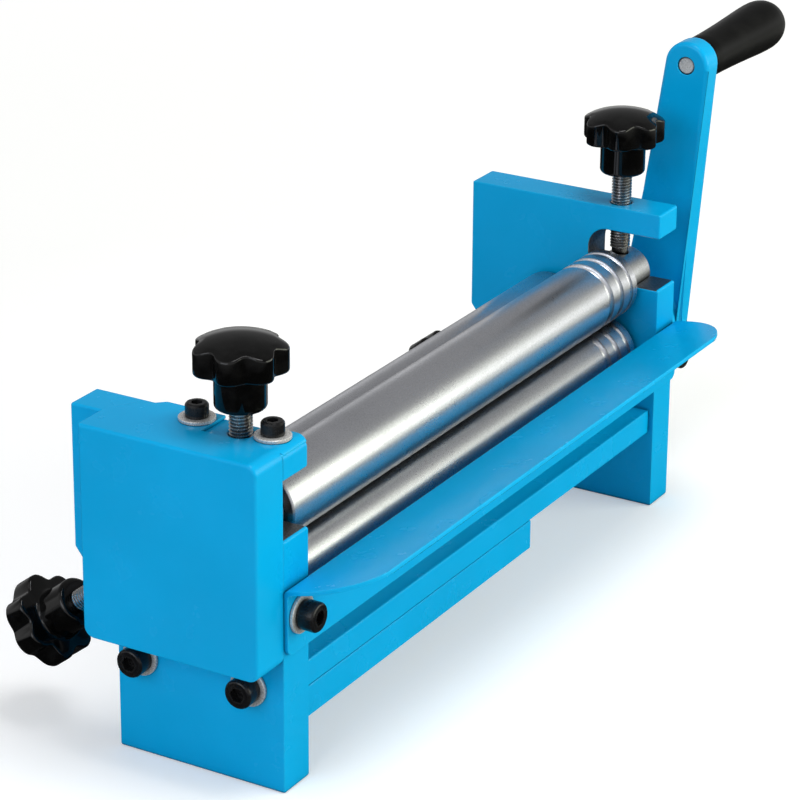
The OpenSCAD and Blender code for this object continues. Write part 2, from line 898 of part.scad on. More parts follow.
// Outline in Y and Z of the arm: two round ends and the straight sides that touch both
module arm_outline() {
    hub_r = boss_d / 2;
    end_r = arm_end_d / 2;
    lean = asin((hub_r - end_r) / crank_radius);
    circle(r = hub_r);
    translate([crank_radius, 0])
        circle(r = end_r);
    polygon([
        hub_r * [sin(lean), cos(lean)],
        [crank_radius, 0] + end_r * [sin(lean), cos(lean)],
        [crank_radius, 0] + end_r * [sin(lean), -cos(lean)],
        hub_r * [sin(lean), -cos(lean)]
    ]);
}

// Places children at the set screw: +Z points outwards from radius r, square to the arm
module on_set_screw(r) {
    translate([boss_x + boss_l / 2, roll_y, lower_z])
        rotate([crank_angle - 180, 0, 0])
            translate([0, 0, r])
                children();
}

module crank_arm() {
    grip_y = roll_y + crank_radius * cos(crank_angle);
    grip_z = lower_z + crank_radius * sin(crank_angle);
    seat_r = boss_d / 2 - washer_t / 2;
    color("deepskyblue") placed() difference() {
        union() {
            rod_x(boss_x, arm_out_x, boss_d / 2, roll_y, lower_z);
            translate([0, roll_y, lower_z])
                along_x(arm_x, arm_out_x)
                    rotate(crank_angle) arm_outline();
        }
        rod_x(boss_x - cut, arm_out_x + cut, crank_seat_d / 2 + fixed_fit, roll_y, lower_z);
        rod_x(arm_x - cut, arm_out_x + cut, grip_bolt_d / 2 + fixed_fit, grip_y, grip_z);
        on_set_screw(0) cylinder(r = set_screw_d / 2 + fixed_fit, h = boss_d);
        on_set_screw(seat_r) cylinder(r = head_d(set_screw_d) / 2 + shank_clearance, h = boss_d);
    }
}

module crank_set_screw() {
    seat_r = boss_d / 2 - washer_t / 2;
    flat_r = crank_seat_d / 2 - shaft_recess / 2;
    color("black") placed() on_set_screw(seat_r)
        socket_screw(set_screw_d, seat_r - flat_r);
}

// Slotted bolt that carries the grip, fixed in the arm's end
module grip_bolt() {
    grip_y = roll_y + crank_radius * cos(crank_angle);
    grip_z = lower_z + crank_radius * sin(crank_angle);
    head_x = grip_end_x - grip_recess + face_gap;
    color("silver") placed() difference() {
        union() {
            rod_x(arm_x, head_x, grip_bolt_d / 2, grip_y, grip_z);
            rod_x(head_x, head_x + bolt_head_h, bolt_head_d / 2, grip_y, grip_z);
        }
        translate([head_x + bolt_head_h / 2, grip_y - bolt_head_d, grip_z - bolt_slot_w / 2])
            cube([bolt_head_h, 2 * bolt_head_d, bolt_slot_w]);
    }
}

// Turned grip, thickest near its outer end, which has a recess for the bolt's head
module crank_grip() {
    grip_y = roll_y + crank_radius * cos(crank_angle);
    grip_z = lower_z + crank_radius * sin(crank_angle);
    bore = grip_bolt_d / 2 + running_fit;
    recess_r = bolt_head_d / 2 + grip_edge / 2;
    neck = grip_neck_d / 2;
    full = grip_d / 2;
    color("black") placed()
        translate([grip_x, grip_y, grip_z])
            rotate([0, 90, 0])
                rotate_extrude()
                    polygon(concat(
                        [[bore, 0]],
                        arc([neck - grip_edge, grip_edge], grip_edge, -90, 0, grip_steps),
                        [[full, grip_l * grip_full_share]],
                        arc([full - grip_edge, grip_l - grip_edge], grip_edge, 0, 90, grip_steps),
                        [[recess_r, grip_l], [recess_r, grip_l - grip_recess],
                            [bore, grip_l - grip_recess]]
                    ));
}

// Fasteners

// Diameter of a socket head, and the width over the corners of its socket
function head_d(d) = head_share * d + head_more;
function socket_d(d) = socket_w_share * d / cos(30);

// Socket head screw along Z: the head stands on z = 0 and the shank reaches down by length
module socket_screw(d, length) {
    difference() {
        union() {
            cylinder(d = head_d(d), h = d);
            translate([0, 0, screw_end - length])
                cylinder(d = d, h = length - screw_end);
            translate([0, 0, -length])
                cylinder(d1 = d - 2 * screw_end, d2 = d, h = screw_end);
        }
        translate([0, 0, d - socket_h_share * d])
            cylinder(d = socket_d(d), h = socket_h_share * d + cut, $fn = 6);
    }
}

// Washer that stands on z = 0
module washer(outer_d, screw) {
    difference() {
        cylinder(d = outer_d, h = washer_t);
        translate([0, 0, -cut])
            cylinder(r = screw / 2 + shank_clearance, h = washer_t + 2 * cut);
    }
}

// Places children on the left end of the cover's flange at both screws
module at_cover_screws() {
    for (y = [cover_screw_front, cover_screw_back]) {
        translate([-mid_x, y, cover_top]) children();
    }
}

// Places children on an end plate's outer face at both frame screws
module at_frame_screws(side) {
    at_side(side)
        for (y = frame_screw_places) {
            translate([outer_x, y, bed_z])
                rotate([0, 90, 0])
                    children();
        }
}

// Places children on the tray flange's front face at both ends
module at_tray_screws() {
    for (side = [-1, 1]) {
        translate([side * mid_x, -tray_t, tray_screw_z])
            rotate([90, 0, 0])
                children();
    }
}

module cover_screws() {
    color("black") placed() at_cover_screws()
        translate([0, 0, washer_t])
            socket_screw(cover_screw_d, washer_t + flange_t + plate_screw_grip);
}

module cover_washers() {
    color("silver") placed() at_cover_screws() washer(cover_washer_d, cover_screw_d);
}

module frame_screws(side) {
    color("black") placed() at_frame_screws(side)
        translate([0, 0, washer_t])
            socket_screw(frame_screw_d, washer_t + plate_t + frame_screw_grip);
}

module frame_washers(side) {
    color("silver") placed() at_frame_screws(side) washer(frame_washer_d, frame_screw_d);
}

module left_frame_screws() frame_screws(-1);
module right_frame_screws() frame_screws(1);
module left_frame_washers() frame_washers(-1);
module right_frame_washers() frame_washers(1);

module tray_screws() {
    color("black") placed() at_tray_screws()
        translate([0, 0, washer_t])
            socket_screw(tray_screw_d, washer_t + tray_t + plate_screw_grip);
}

module tray_washers() {
    color("silver") placed() at_tray_screws() washer(frame_washer_d, tray_screw_d);
}

left_end_plate();
right_end_plate();
bed_bar();
vise_block();
feed_tray();
gear_cover();
left_lower_bush();
right_lower_bush();
left_upper_bush();
right_upper_bush();
left_rear_bush();
right_rear_bush();
lower_roll();
upper_roll();
rear_roll();
lower_gear();
upper_gear();
lower_gear_key();
upper_gear_key();
lower_gear_washer();
upper_gear_washer();
lower_gear_screw();
upper_gear_screw();
left_lift_screw();
right_lift_screw();
left_lift_knob();
right_lift_knob();
left_rear_screw();
right_rear_screw();
left_rear_knob();
right_rear_knob();
crank_arm();
crank_set_screw();
grip_bolt();
crank_grip();
cover_screws();
cover_washers();
left_frame_screws();
right_frame_screws();
left_frame_washers();
right_frame_washers();
tray_screws();
tray_washers();
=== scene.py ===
import math
import bmesh
import bpy
from mathutils import Matrix, Vector


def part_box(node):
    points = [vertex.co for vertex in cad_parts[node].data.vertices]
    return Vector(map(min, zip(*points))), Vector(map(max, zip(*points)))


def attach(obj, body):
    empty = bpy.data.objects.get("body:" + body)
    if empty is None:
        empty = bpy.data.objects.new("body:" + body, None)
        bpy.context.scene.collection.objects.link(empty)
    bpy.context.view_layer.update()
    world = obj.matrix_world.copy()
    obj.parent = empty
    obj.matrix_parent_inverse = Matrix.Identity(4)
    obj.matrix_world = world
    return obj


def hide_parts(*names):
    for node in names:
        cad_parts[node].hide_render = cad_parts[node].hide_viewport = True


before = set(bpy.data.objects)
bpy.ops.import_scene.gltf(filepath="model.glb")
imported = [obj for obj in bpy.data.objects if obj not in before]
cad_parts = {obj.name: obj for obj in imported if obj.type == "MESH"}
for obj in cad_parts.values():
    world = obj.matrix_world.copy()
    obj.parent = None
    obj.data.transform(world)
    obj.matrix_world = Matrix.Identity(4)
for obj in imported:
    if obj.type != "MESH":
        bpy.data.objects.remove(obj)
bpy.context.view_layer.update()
scene = bpy.context.scene


# ---- Camera ----
# A long lens at the left front corner of the bench, a little above the machine's top, looking
# along the rolls. The shift holds the frame on the machine.
yaw, pitch, roll = math.radians(59.53), math.radians(-20.48), math.radians(0.35)
forward = Vector((math.sin(yaw) * math.cos(pitch), math.cos(yaw) * math.cos(pitch), math.sin(pitch)))
level = Vector((math.cos(yaw), -math.sin(yaw), 0))
upright = level.cross(forward)
camera_x = math.cos(roll) * level + math.sin(roll) * upright
camera_y = math.cos(roll) * upright - math.sin(roll) * level
camera = bpy.data.objects.new("camera", bpy.data.cameras.new("camera"))
scene.collection.objects.link(camera)
camera.matrix_world = (
    Matrix.Translation((-1.2287, -0.68936, 0.6611))
    @ Matrix((camera_x, camera_y, -forward)).transposed().to_4x4()
)
camera.data.sensor_width = 36
camera.data.lens = 145.2
camera.data.shift_x = 0.01275
camera.data.shift_y = -0.12675
camera.data.clip_start, camera.data.clip_end = 0.05, 20
scene.camera = camera
scene.view_settings.view_transform = "Standard"


# ---- Studio ----
# A pale floor that runs out of sight, a white room, and three soft lamps: the largest in front
# of the feed tray, one overhead and one on the gear cover's side. In reflections the room is
# dim, but for a bright band low down, the streak along the rolls, and a bright left wall.
def add_node(tree, kind, inputs=None, **settings):
    """A node with its settings made, and with a value or a link on each named input."""
    made = tree.nodes.new(kind)
    for key, value in settings.items():
        setattr(made, key, value)
    for key, value in (inputs or {}).items():
        if isinstance(value, bpy.types.NodeSocket):
            tree.links.new(value, made.inputs[key])
        else:
            made.inputs[key].default_value = value
    return made


def soft_lamp(name, place, aim, size, power, tint=(1, 1, 1)):
    lamp = bpy.data.lights.new(name, "AREA")
    lamp.color = tint
    lamp.shape = "RECTANGLE"
    lamp.size, lamp.size_y = size
    lamp.energy = power
    holder = bpy.data.objects.new(name, lamp)
    scene.collection.objects.link(holder)
    holder.location = place
    holder.rotation_euler = (Vector(aim) - Vector(place)).to_track_quat("-Z", "Y").to_euler()


soft_lamp("front_lamp", (0.5, -1.5, 0.55), (0.0, 0.0, 0.1), (1.6, 0.9), 22.5, (0.98, 1, 0.82))
soft_lamp("top_lamp", (-0.15, -0.35, 1.6), (0.0, 0.0, 0.0), (0.6, 0.6), 10)
soft_lamp("side_lamp", (-1.6, 0.1, 0.8), (0.0, 0.0, 0.1), (1.2, 0.8), 9.8, (0.86, 0.92, 1))

# The room as reflections see it, as the other rays see it, and white behind the machine
world = bpy.data.worlds.new("room")
scene.world = world
world.use_nodes = True
room = world.node_tree
room.nodes.clear()
white = (1, 1, 1, 1)
seen = add_node(room, "ShaderNodeLightPath")
direction = add_node(room, "ShaderNodeTexCoord")
axes = add_node(room, "ShaderNodeSeparateXYZ", {"Vector": direction.outputs["Generated"]})
front = add_node(room, "ShaderNodeMapRange", {
    "Value": axes.outputs["Y"], "From Min": -0.3, "From Max": 0.1, "To Min": 1.3, "To Max": 0.75,
})
ceiling = add_node(room, "ShaderNodeMapRange", {
    "Value": axes.outputs["Z"], "From Min": 0.06, "From Max": 0.27, "To Min": front.outputs[0], "To Max": 0.3,
}, interpolation_type="SMOOTHSTEP")
left_wall = add_node(room, "ShaderNodeMapRange", {
    "Value": axes.outputs["X"], "From Min": -0.1, "From Max": -0.35, "To Min": 0.0, "To Max": 0.95,
}, interpolation_type="SMOOTHSTEP")
walls = add_node(room, "ShaderNodeMath", {0: ceiling.outputs["Result"], 1: left_wall.outputs["Result"]},
                 operation="MAXIMUM")
glossy_room = add_node(room, "ShaderNodeBackground", {"Color": white, "Strength": walls.outputs[0]})
white_room = add_node(room, "ShaderNodeBackground", {"Color": white, "Strength": 1.0})
lit_room = add_node(room, "ShaderNodeBackground", {"Color": white, "Strength": 0.42})
shown = add_node(room, "ShaderNodeMixShader", {0: seen.outputs["Is Glossy Ray"], 1: lit_room.outputs[0],
                                              2: glossy_room.outputs[0]})
through = add_node(room, "ShaderNodeMath", {0: seen.outputs["Is Camera Ray"],
                                           1: seen.outputs["Is Transmission Ray"]}, operation="MAXIMUM")
behind = add_node(room, "ShaderNodeMixShader", {0: through.outputs[0], 1: shown.outputs[0],
                                               2: white_room.outputs[0]})
add_node(room, "ShaderNodeOutputWorld", {"Surface": behind.outputs[0]})

# The floor is matt, dark near the machine where the paint and the rolls would mirror it, and
# glows a little to the camera, more with distance, so that it fades into the background
bpy.ops.object.select_all(action="DESELECT")
bpy.ops.mesh.primitive_plane_add(size=12, location=(0, 0, 0))
floor = bpy.context.object
floor.name = "floor"
pale = bpy.data.materials.new("pale_floor")
pale.use_nodes = True
tree = pale.node_tree
tree.nodes.clear()
seen = add_node(tree, "ShaderNodeLightPath")
ground = add_node(tree, "ShaderNodeTexCoord").outputs["Object"]
distance = add_node(tree, "ShaderNodeVectorMath", {0: ground}, operation="LENGTH")
reflected = add_node(tree, "ShaderNodeMapRange", {"Value": distance.outputs["Value"], "From Min": 0.65,
                                                 "From Max": 1.2, "To Min": 0.04, "To Max": 0.85})
shade = add_node(tree, "ShaderNodeMapRange", {"Value": seen.outputs["Is Glossy Ray"], "To Min": 0.8,
                                             "To Max": reflected.outputs[0]})
matt = add_node(tree, "ShaderNodeBsdfDiffuse", {"Color": shade.outputs[0]})
fade = add_node(tree, "ShaderNodeMapRange", {"Value": distance.outputs["Value"], "From Min": 0.5, "From Max": 2.5,
                                            "To Min": 0.3, "To Max": 0.85})
lift = add_node(tree, "ShaderNodeMath", {0: seen.outputs["Is Camera Ray"], 1: fade.outputs[0]},
                operation="MULTIPLY")
glow = add_node(tree, "ShaderNodeEmission", {"Strength": lift.outputs[0]})
both = add_node(tree, "ShaderNodeAddShader", {0: matt.outputs[0], 1: glow.outputs[0]})
add_node(tree, "ShaderNodeOutputMaterial", {"Surface": both.outputs[0]})
floor.data.materials.append(pale)


# ---- End plates ----
# Two 19 mm steel plates, cut to outline and bored together, then sprayed with sky blue enamel.
# The window for the upper bush and the sloping slot for the rear bush are machined after
# painting and left bare. All edges are broken by hand with a file.
middle_x = (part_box("left_end_plate")[0].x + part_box("right_end_plate")[1].x) / 2
front_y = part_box("left_end_plate")[0].y


def at(x, y, z):
    """A point given in millimetres from the machine's middle, the plates' front faces and the bench."""
    return Vector((middle_x + x / 1000, front_y + y / 1000, z / 1000))


def shader_group(name, inputs, outputs):
    """An empty node group with its sockets, and the node that its values come in by."""
    group = bpy.data.node_groups.new(name, "ShaderNodeTree")
    for label, kind, value in inputs:
        group.interface.new_socket(label, in_out="INPUT", socket_type=kind).default_value = value
    for label, kind in outputs:
        group.interface.new_socket(label, in_out="OUTPUT", socket_type=kind)
    return group, group.nodes.new("NodeGroupInput").outputs


# How close a surface is to an outer edge, from 0 on a flat face to 1 on the edge itself
edge_mask, given = shader_group("edge_mask", [("Reach", "NodeSocketFloat", 0.001)],
                                [("Mask", "NodeSocketFloat")])
rounded = add_node(edge_mask, "ShaderNodeBevel", {"Radius": given["Reach"]}, samples=4)
straight = add_node(edge_mask, "ShaderNodeNewGeometry")
agree = add_node(edge_mask, "ShaderNodeVectorMath", {0: rounded.outputs["Normal"],
                                                    1: straight.outputs["Normal"]}, operation="DOT_PRODUCT")
edge_nearness = add_node(edge_mask, "ShaderNodeMapRange", {"Value": agree.outputs["Value"], "From Min": 0.995,
                                                 "From Max": 0.8, "To Min": 0.0, "To Max": 1.0})
add_node(edge_mask, "NodeGroupOutput", {"Mask": edge_nearness.outputs["Result"]})

# Sprayed enamel: a slight change of tone over the piece, lighter on the edges, partly where the paint is thinner
# and partly as a painted highlight, darker with painted shade in the corners and round the fittings, with spray
# paint's soft waviness
enamel, given = shader_group(
    "enamel",
    [("Paint", "NodeSocketColor", (0.001, 0.355, 0.7, 1)), ("Thin_edge_and_highlight", "NodeSocketColor", (0.02, 0.5, 0.78, 1)),
     ("Corner_shade", "NodeSocketColor", (0.001, 0.07, 0.16, 1))],
    [("Color", "NodeSocketColor"), ("Roughness", "NodeSocketFloat"), ("Height", "NodeSocketFloat")])
place = add_node(enamel, "ShaderNodeTexCoord").outputs["Object"]
tone = add_node(enamel, "ShaderNodeTexNoise", {"Vector": place, "Scale": 14.0, "Detail": 3.0})
tone_value = add_node(enamel, "ShaderNodeMapRange", {"Value": tone.outputs["Fac"], "From Min": 0.3,
                                                    "From Max": 0.7, "To Min": 0.95, "To Max": 1.03},
                      interpolation_type="SMOOTHSTEP")
toned = add_node(enamel, "ShaderNodeHueSaturation", {"Color": given["Paint"], "Value": tone_value.outputs[0]})
edge = add_node(enamel, "ShaderNodeGroup", node_tree=edge_mask)
edge.inputs["Reach"].default_value = 0.0012
# Lighter towards the edges: partly thinner paint, partly a painted highlight
thin_edge_and_highlight_amount = add_node(enamel, "ShaderNodeMath", {0: edge.outputs["Mask"], 1: 0.45}, operation="MULTIPLY")
edged = add_node(enamel, "ShaderNodeMix", {0: thin_edge_and_highlight_amount.outputs[0], 6: toned.outputs["Color"],
                                          7: given["Thin_edge_and_highlight"]}, data_type="RGBA")
# Painted shade: darker in corners, seams and round the fittings, where other surfaces come close
nook = add_node(enamel, "ShaderNodeAmbientOcclusion", {"Distance": 0.004}, samples=4)
corner_shade_amount = add_node(enamel, "ShaderNodeMapRange", {"Value": nook.outputs["AO"], "From Min": 0.35,
                                                    "From Max": 0.8, "To Min": 0.75, "To Max": 0.0})
corner_shaded = add_node(enamel, "ShaderNodeMix", {0: corner_shade_amount.outputs[0], 6: edged.outputs[2],
                                          7: given["Corner_shade"]}, data_type="RGBA")
film = add_node(enamel, "ShaderNodeTexNoise", {"Vector": place, "Scale": 55.0, "Detail": 4.0})
rough = add_node(enamel, "ShaderNodeMapRange", {"Value": film.outputs["Fac"], "From Min": 0.3, "From Max": 0.7,
                                               "To Min": 0.22, "To Max": 0.28},
                 interpolation_type="SMOOTHSTEP")
peel = add_node(enamel, "ShaderNodeTexNoise", {"Vector": place, "Scale": 420.0, "Detail": 1.0})
add_node(enamel, "NodeGroupOutput", {"Color": corner_shaded.outputs[2], "Roughness": rough.outputs[0],
                                    "Height": peel.outputs["Fac"]})


def new_material(name, slot_color):
    """A material with an empty tree, a Principled BSDF in it, and its colour in the viewport."""
    made = bpy.data.materials.new(name)
    made.use_nodes = True
    made.node_tree.nodes.clear()
    made.diffuse_color = slot_color
    shader = add_node(made.node_tree, "ShaderNodeBsdfPrincipled")
    add_node(made.node_tree, "ShaderNodeOutputMaterial", {"Surface": shader.outputs[0]})
    return made, shader


def join_surface(made, shader, group, bump, strength=0.3):
    """Feeds a group's colour, roughness and height to a material's shader."""
    tree = made.node_tree
    tree.links.new(group.outputs["Color"], shader.inputs["Base Color"])
    tree.links.new(group.outputs["Roughness"], shader.inputs["Roughness"])
    relief = add_node(tree, "ShaderNodeBump", {"Height": group.outputs["Height"], "Strength": strength,
                                              "Distance": bump})
    tree.links.new(relief.outputs["Normal"], shader.inputs["Normal"])


blue_paint, shader = new_material("blue_paint", (0.001, 0.35, 0.75, 1))
coat = add_node(blue_paint.node_tree, "ShaderNodeGroup", node_tree=enamel)
join_surface(blue_paint, shader, coat, 0.000005)
shader.inputs["Specular IOR Level"].default_value = 0.12

# Turned, bored or ground steel: fine rings about the X axis of the vector that comes in, with
# slow patches of duller metal, and painted shade, near black, in the corners, in a thread below the radius Root
# and where pieces nearly touch
turned_steel, given = shader_group(
    "turned_steel",
    [("Vector", "NodeSocketVector", (0, 0, 0)), ("Steel", "NodeSocketColor", (0.6, 0.6, 0.61, 1)),
     ("Dull", "NodeSocketColor", (0.35, 0.35, 0.36, 1)), ("Lines", "NodeSocketFloat", 2500.0),
     ("Patches", "NodeSocketFloat", 60.0), ("Smooth", "NodeSocketFloat", 0.2),
     ("Rough", "NodeSocketFloat", 0.36), ("Reach", "NodeSocketFloat", 0.003),
     ("Root", "NodeSocketFloat", -1.0)],
    [("Color", "NodeSocketColor"), ("Roughness", "NodeSocketFloat"), ("Height", "NodeSocketFloat")])
parts = add_node(turned_steel, "ShaderNodeSeparateXYZ", {"Vector": given["Vector"]})
across = add_node(turned_steel, "ShaderNodeCombineXYZ", {"Y": parts.outputs["Y"], "Z": parts.outputs["Z"]})
radius = add_node(turned_steel, "ShaderNodeVectorMath", {0: across.outputs[0]}, operation="LENGTH")
tool_path = add_node(turned_steel, "ShaderNodeMath", {0: parts.outputs["X"], 1: radius.outputs["Value"]},
                     operation="ADD")
rings = add_node(turned_steel, "ShaderNodeTexNoise", {"W": tool_path.outputs[0], "Scale": given["Lines"],
                                                     "Detail": 3.0, "Roughness": 0.7}, noise_dimensions="1D")
patch = add_node(turned_steel, "ShaderNodeTexNoise", {"Vector": given["Vector"], "Scale": given["Patches"],
                                                     "Detail": 4.0, "Roughness": 0.6})
smear = add_node(turned_steel, "ShaderNodeMapRange", {"Value": patch.outputs["Fac"], "From Min": 0.35,
                                                     "From Max": 0.72})
line = add_node(turned_steel, "ShaderNodeMapRange", {"Value": rings.outputs["Fac"], "From Min": 0.3,
                                                    "From Max": 0.7})
speckle = add_node(turned_steel, "ShaderNodeTexNoise", {"Vector": given["Vector"], "Scale": 1400.0, "Detail": 2.0})
grain = add_node(turned_steel, "ShaderNodeMapRange", {"Value": speckle.outputs["Fac"], "From Min": 0.35,
                                                     "From Max": 0.65, "To Min": 0.0, "To Max": 0.55})
blend = add_node(turned_steel, "ShaderNodeMath", {0: smear.outputs[0], 1: 0.35, 2: grain.outputs[0]},
                 operation="MULTIPLY_ADD")
both = add_node(turned_steel, "ShaderNodeMath", {0: line.outputs[0], 1: 0.28, 2: blend.outputs[0]},
                operation="MULTIPLY_ADD", use_clamp=True)
tint = add_node(turned_steel, "ShaderNodeMix", {0: both.outputs[0], 6: given["Steel"], 7: given["Dull"]},
                data_type="RGBA")
# Painted shade: near black where other surfaces come within Reach, and down in a thread's roots below Root
nook = add_node(turned_steel, "ShaderNodeAmbientOcclusion", {"Distance": given["Reach"]}, samples=4)
near_shade = add_node(turned_steel, "ShaderNodeMapRange", {"Value": nook.outputs["AO"], "From Min": 0.25,
                                                    "From Max": 0.85, "To Min": 0.85, "To Max": 0.0})
depth = add_node(turned_steel, "ShaderNodeMath", {0: radius.outputs["Value"], 1: given["Root"]},
                 operation="SUBTRACT")
root_shade = add_node(turned_steel, "ShaderNodeMapRange", {"Value": depth.outputs[0], "From Min": 0.0,
                                                      "From Max": 0.0006, "To Min": 0.92, "To Max": 0.0})
dark = add_node(turned_steel, "ShaderNodeMath", {0: near_shade.outputs[0], 1: root_shade.outputs[0]}, operation="MAXIMUM")
shaded = add_node(turned_steel, "ShaderNodeMix", {0: dark.outputs[0], 6: tint.outputs[2],
                                                 7: (0.02, 0.02, 0.022, 1)}, data_type="RGBA")
gloss = add_node(turned_steel, "ShaderNodeMapRange", {"Value": both.outputs[0], "To Min": given["Smooth"],
                                                     "To Max": given["Rough"]})
add_node(turned_steel, "NodeGroupOutput", {"Color": shaded.outputs[2], "Roughness": gloss.outputs[0],
                                          "Height": rings.outputs["Fac"]})


def steel(name, centre, turn=(0, 0, 0), bump=0.000004, metal=1.0, **values):
    """Turned steel whose rings run round the X axis of the point centre, turned by turn."""
    made, shader = new_material(name, (0.6, 0.6, 0.6, 1))
    tree = made.node_tree
    place = add_node(tree, "ShaderNodeTexCoord").outputs["Object"]
    middle = add_node(tree, "ShaderNodeMapping", {"Vector": place, "Location": tuple(centre),
                                                 "Rotation": turn}, vector_type="TEXTURE")
    marks = add_node(tree, "ShaderNodeGroup", node_tree=turned_steel)
    tree.links.new(middle.outputs[0], marks.inputs["Vector"])
    for key, value in values.items():
        marks.inputs[key].default_value = value
    join_surface(made, shader, marks, bump)
    shader.inputs["Metallic"].default_value = metal
    return made


window_mid = at(0, 26, 115.4)
machined_steel = steel("machined_steel", window_mid, Steel=(0.2, 0.21, 0.22, 1), Dull=(0.07, 0.08, 0.09, 1),
                       Lines=900.0, Smooth=0.3, Rough=0.5)


def work_on(piece):
    """Makes one piece the only one selected, and opens it for editing with everything in it selected."""
    bpy.ops.object.select_all(action="DESELECT")
    piece.select_set(True)
    bpy.context.view_layer.objects.active = piece
    bpy.ops.object.mode_set(mode="EDIT")
    bpy.ops.mesh.select_mode(type="EDGE")
    bpy.ops.mesh.select_all(action="SELECT")


def copy_of(node, name):
    """A copy of a solid from the frame with its loose triangles merged into whole faces."""
    piece = bpy.data.objects.new(name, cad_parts[node].data.copy())
    scene.collection.objects.link(piece)
    piece.data.materials.clear()
    work_on(piece)
    bpy.ops.mesh.customdata_custom_splitnormals_clear()
    bpy.ops.mesh.remove_doubles(threshold=0.000002)
    bpy.ops.mesh.dissolve_limited(angle_limit=math.radians(0.4))
    bpy.ops.object.mode_set(mode="OBJECT")
    return piece


def round_edges(piece, chosen, width, segments, sharper_than=30):
    """Rounds the sharp edges that lie where chosen says, by the given width in millimetres."""
    work_on(piece)
    bpy.ops.mesh.select_all(action="DESELECT")
    shape = bmesh.from_edit_mesh(piece.data)
    for edge in shape.edges:
        edge.select = (len(edge.link_faces) == 2 and edge.calc_face_angle(0) > math.radians(sharper_than)
                       and all(chosen(1000 * (v.co - at(0, 0, 0))) for v in edge.verts))
    bmesh.update_edit_mesh(piece.data)
    bpy.ops.mesh.bevel(offset=width / 1000, segments=segments, affect="EDGES", clamp_overlap=False)
    bpy.ops.object.mode_set(mode="OBJECT")


def finish_edges(piece, width, segments=3, sharper_than=32):
    """Breaks all edges that are still sharp, and shades flat faces flat and rounded ones round."""
    bpy.ops.object.select_all(action="DESELECT")
    piece.select_set(True)
    bpy.context.view_layer.objects.active = piece
    if width:
        broken = piece.modifiers.new("broken_edges", "BEVEL")
        broken.width = width / 1000
        broken.segments = segments
        broken.limit_method = "ANGLE"
        broken.angle_limit = math.radians(sharper_than)
        broken.use_clamp_overlap = False
        bpy.ops.object.modifier_apply(modifier="broken_edges")
    bpy.ops.object.shade_smooth_by_angle(angle=math.radians(40))
    piece.modifiers.new("flat_faces", "WEIGHTED_NORMAL").keep_sharp = True
    bpy.ops.object.modifier_apply(modifier="flat_faces")


def fit_on(piece, body, slot, *nodes):
    """Ties a finished piece to its body and hides the solids that it stands for. Its slot, the finish, is not
    used.
    """
    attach(piece, body)
    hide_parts(*nodes)


# The plates' back edge stands up from the foot, leans back above it and stands up again
plate_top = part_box("left_end_plate")[1].z * 1000
foot_depth, plate_depth, lean_from, lean = 83.1, 104.1, 61.4, math.radians(52)
painted_rim = 1.5


def is_bare(face):
    """Whether a face of an end plate belongs to a bore, the window or the slot."""
    y, z = (1000 * (face.center - at(0, 0, 0)))[1:]
    leaned = foot_depth + (z - lean_from) / math.tan(lean)
    back = foot_depth if z < lean_from else min(plate_depth, leaned)
    inside = painted_rim < y < back - painted_rim and painted_rim < z < plate_top - painted_rim
    return inside and abs(face.normal.x) < 0.6


for side in ("left", "right"):
    plate = copy_of(side + "_end_plate", side + "_plate")
    finish_edges(plate, 1.1, segments=4)
    plate.data.materials.append(blue_paint)
    plate.data.materials.append(machined_steel)
    for face in plate.data.polygons:
        face.material_index = int(is_bare(face))
    fit_on(plate, "frame", "blue_paint", side + "_end_plate")


# ---- Bed bar and vise block ----
# A flat steel bar holds the end plates apart, and a square block welded under it at the left
# goes between the jaws of a bench vise. Both are painted with the plates.
for node in ("bed_bar", "vise_block"):
    bar = copy_of(node, node + "_painted")
    finish_edges(bar, 0.8)
    bar.data.materials.append(blue_paint)
    fit_on(bar, "frame", "blue_paint", node)


# ---- Feed tray ----
# A 2 mm sheet that guides work into the front rolls: a flange screwed to the plates and a
# shelf folded forwards and up, with two large round corners. Painted blue.
fold_z, fold_front = 92.5, -2.6
tray = copy_of("feed_tray", "tray")
round_edges(tray, lambda p: abs(p.z - fold_z) < 2.5 and p.y > fold_front, 1.6, segments=5, sharper_than=20)
finish_edges(tray, 0.35)
tray.data.materials.append(blue_paint)
fit_on(tray, "frame", "blue_paint", "feed_tray")


# ---- Gear cover ----
# A pressed and welded steel box over the gears, with a flange that lies on the left plate and
# is cut away round the lift screw. The box's outer edges are rounded over. Painted blue.
cover_face = 1000 * (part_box("gear_cover")[0].x - middle_x)
cover = copy_of("gear_cover", "cover")
round_edges(cover, lambda p: abs(p.x - cover_face) < 0.05, 1.5, segments=5, sharper_than=20)
finish_edges(cover, 0.3)
cover.data.materials.append(blue_paint)
fit_on(cover, "frame", "blue_paint", "gear_cover")


# ---- Bushes ----
# Six plain steel bushes. The lower two are pressed into the plates. The upper two slide in the
# windows and the rear two in the slots, each with a pocket for its screw's tip.
for side in ("left", "right"):
    for row, body in (("lower", "frame"), ("upper", "upper_bearings"), ("rear", "rear_bearings")):
        node = side + "_" + row + "_bush"
        low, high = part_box(node)
        bush = copy_of(node, node + "_turned")
        finish_edges(bush, 0.35, segments=2)
        bush.data.materials.append(steel(node + "_steel", (low + high) / 2, Steel=(0.62, 0.63, 0.65, 1),
                                         Dull=(0.33, 0.335, 0.35, 1), Lines=1500.0, Smooth=0.24, Rough=0.42))
        fit_on(bush, body, "bush_steel", node)


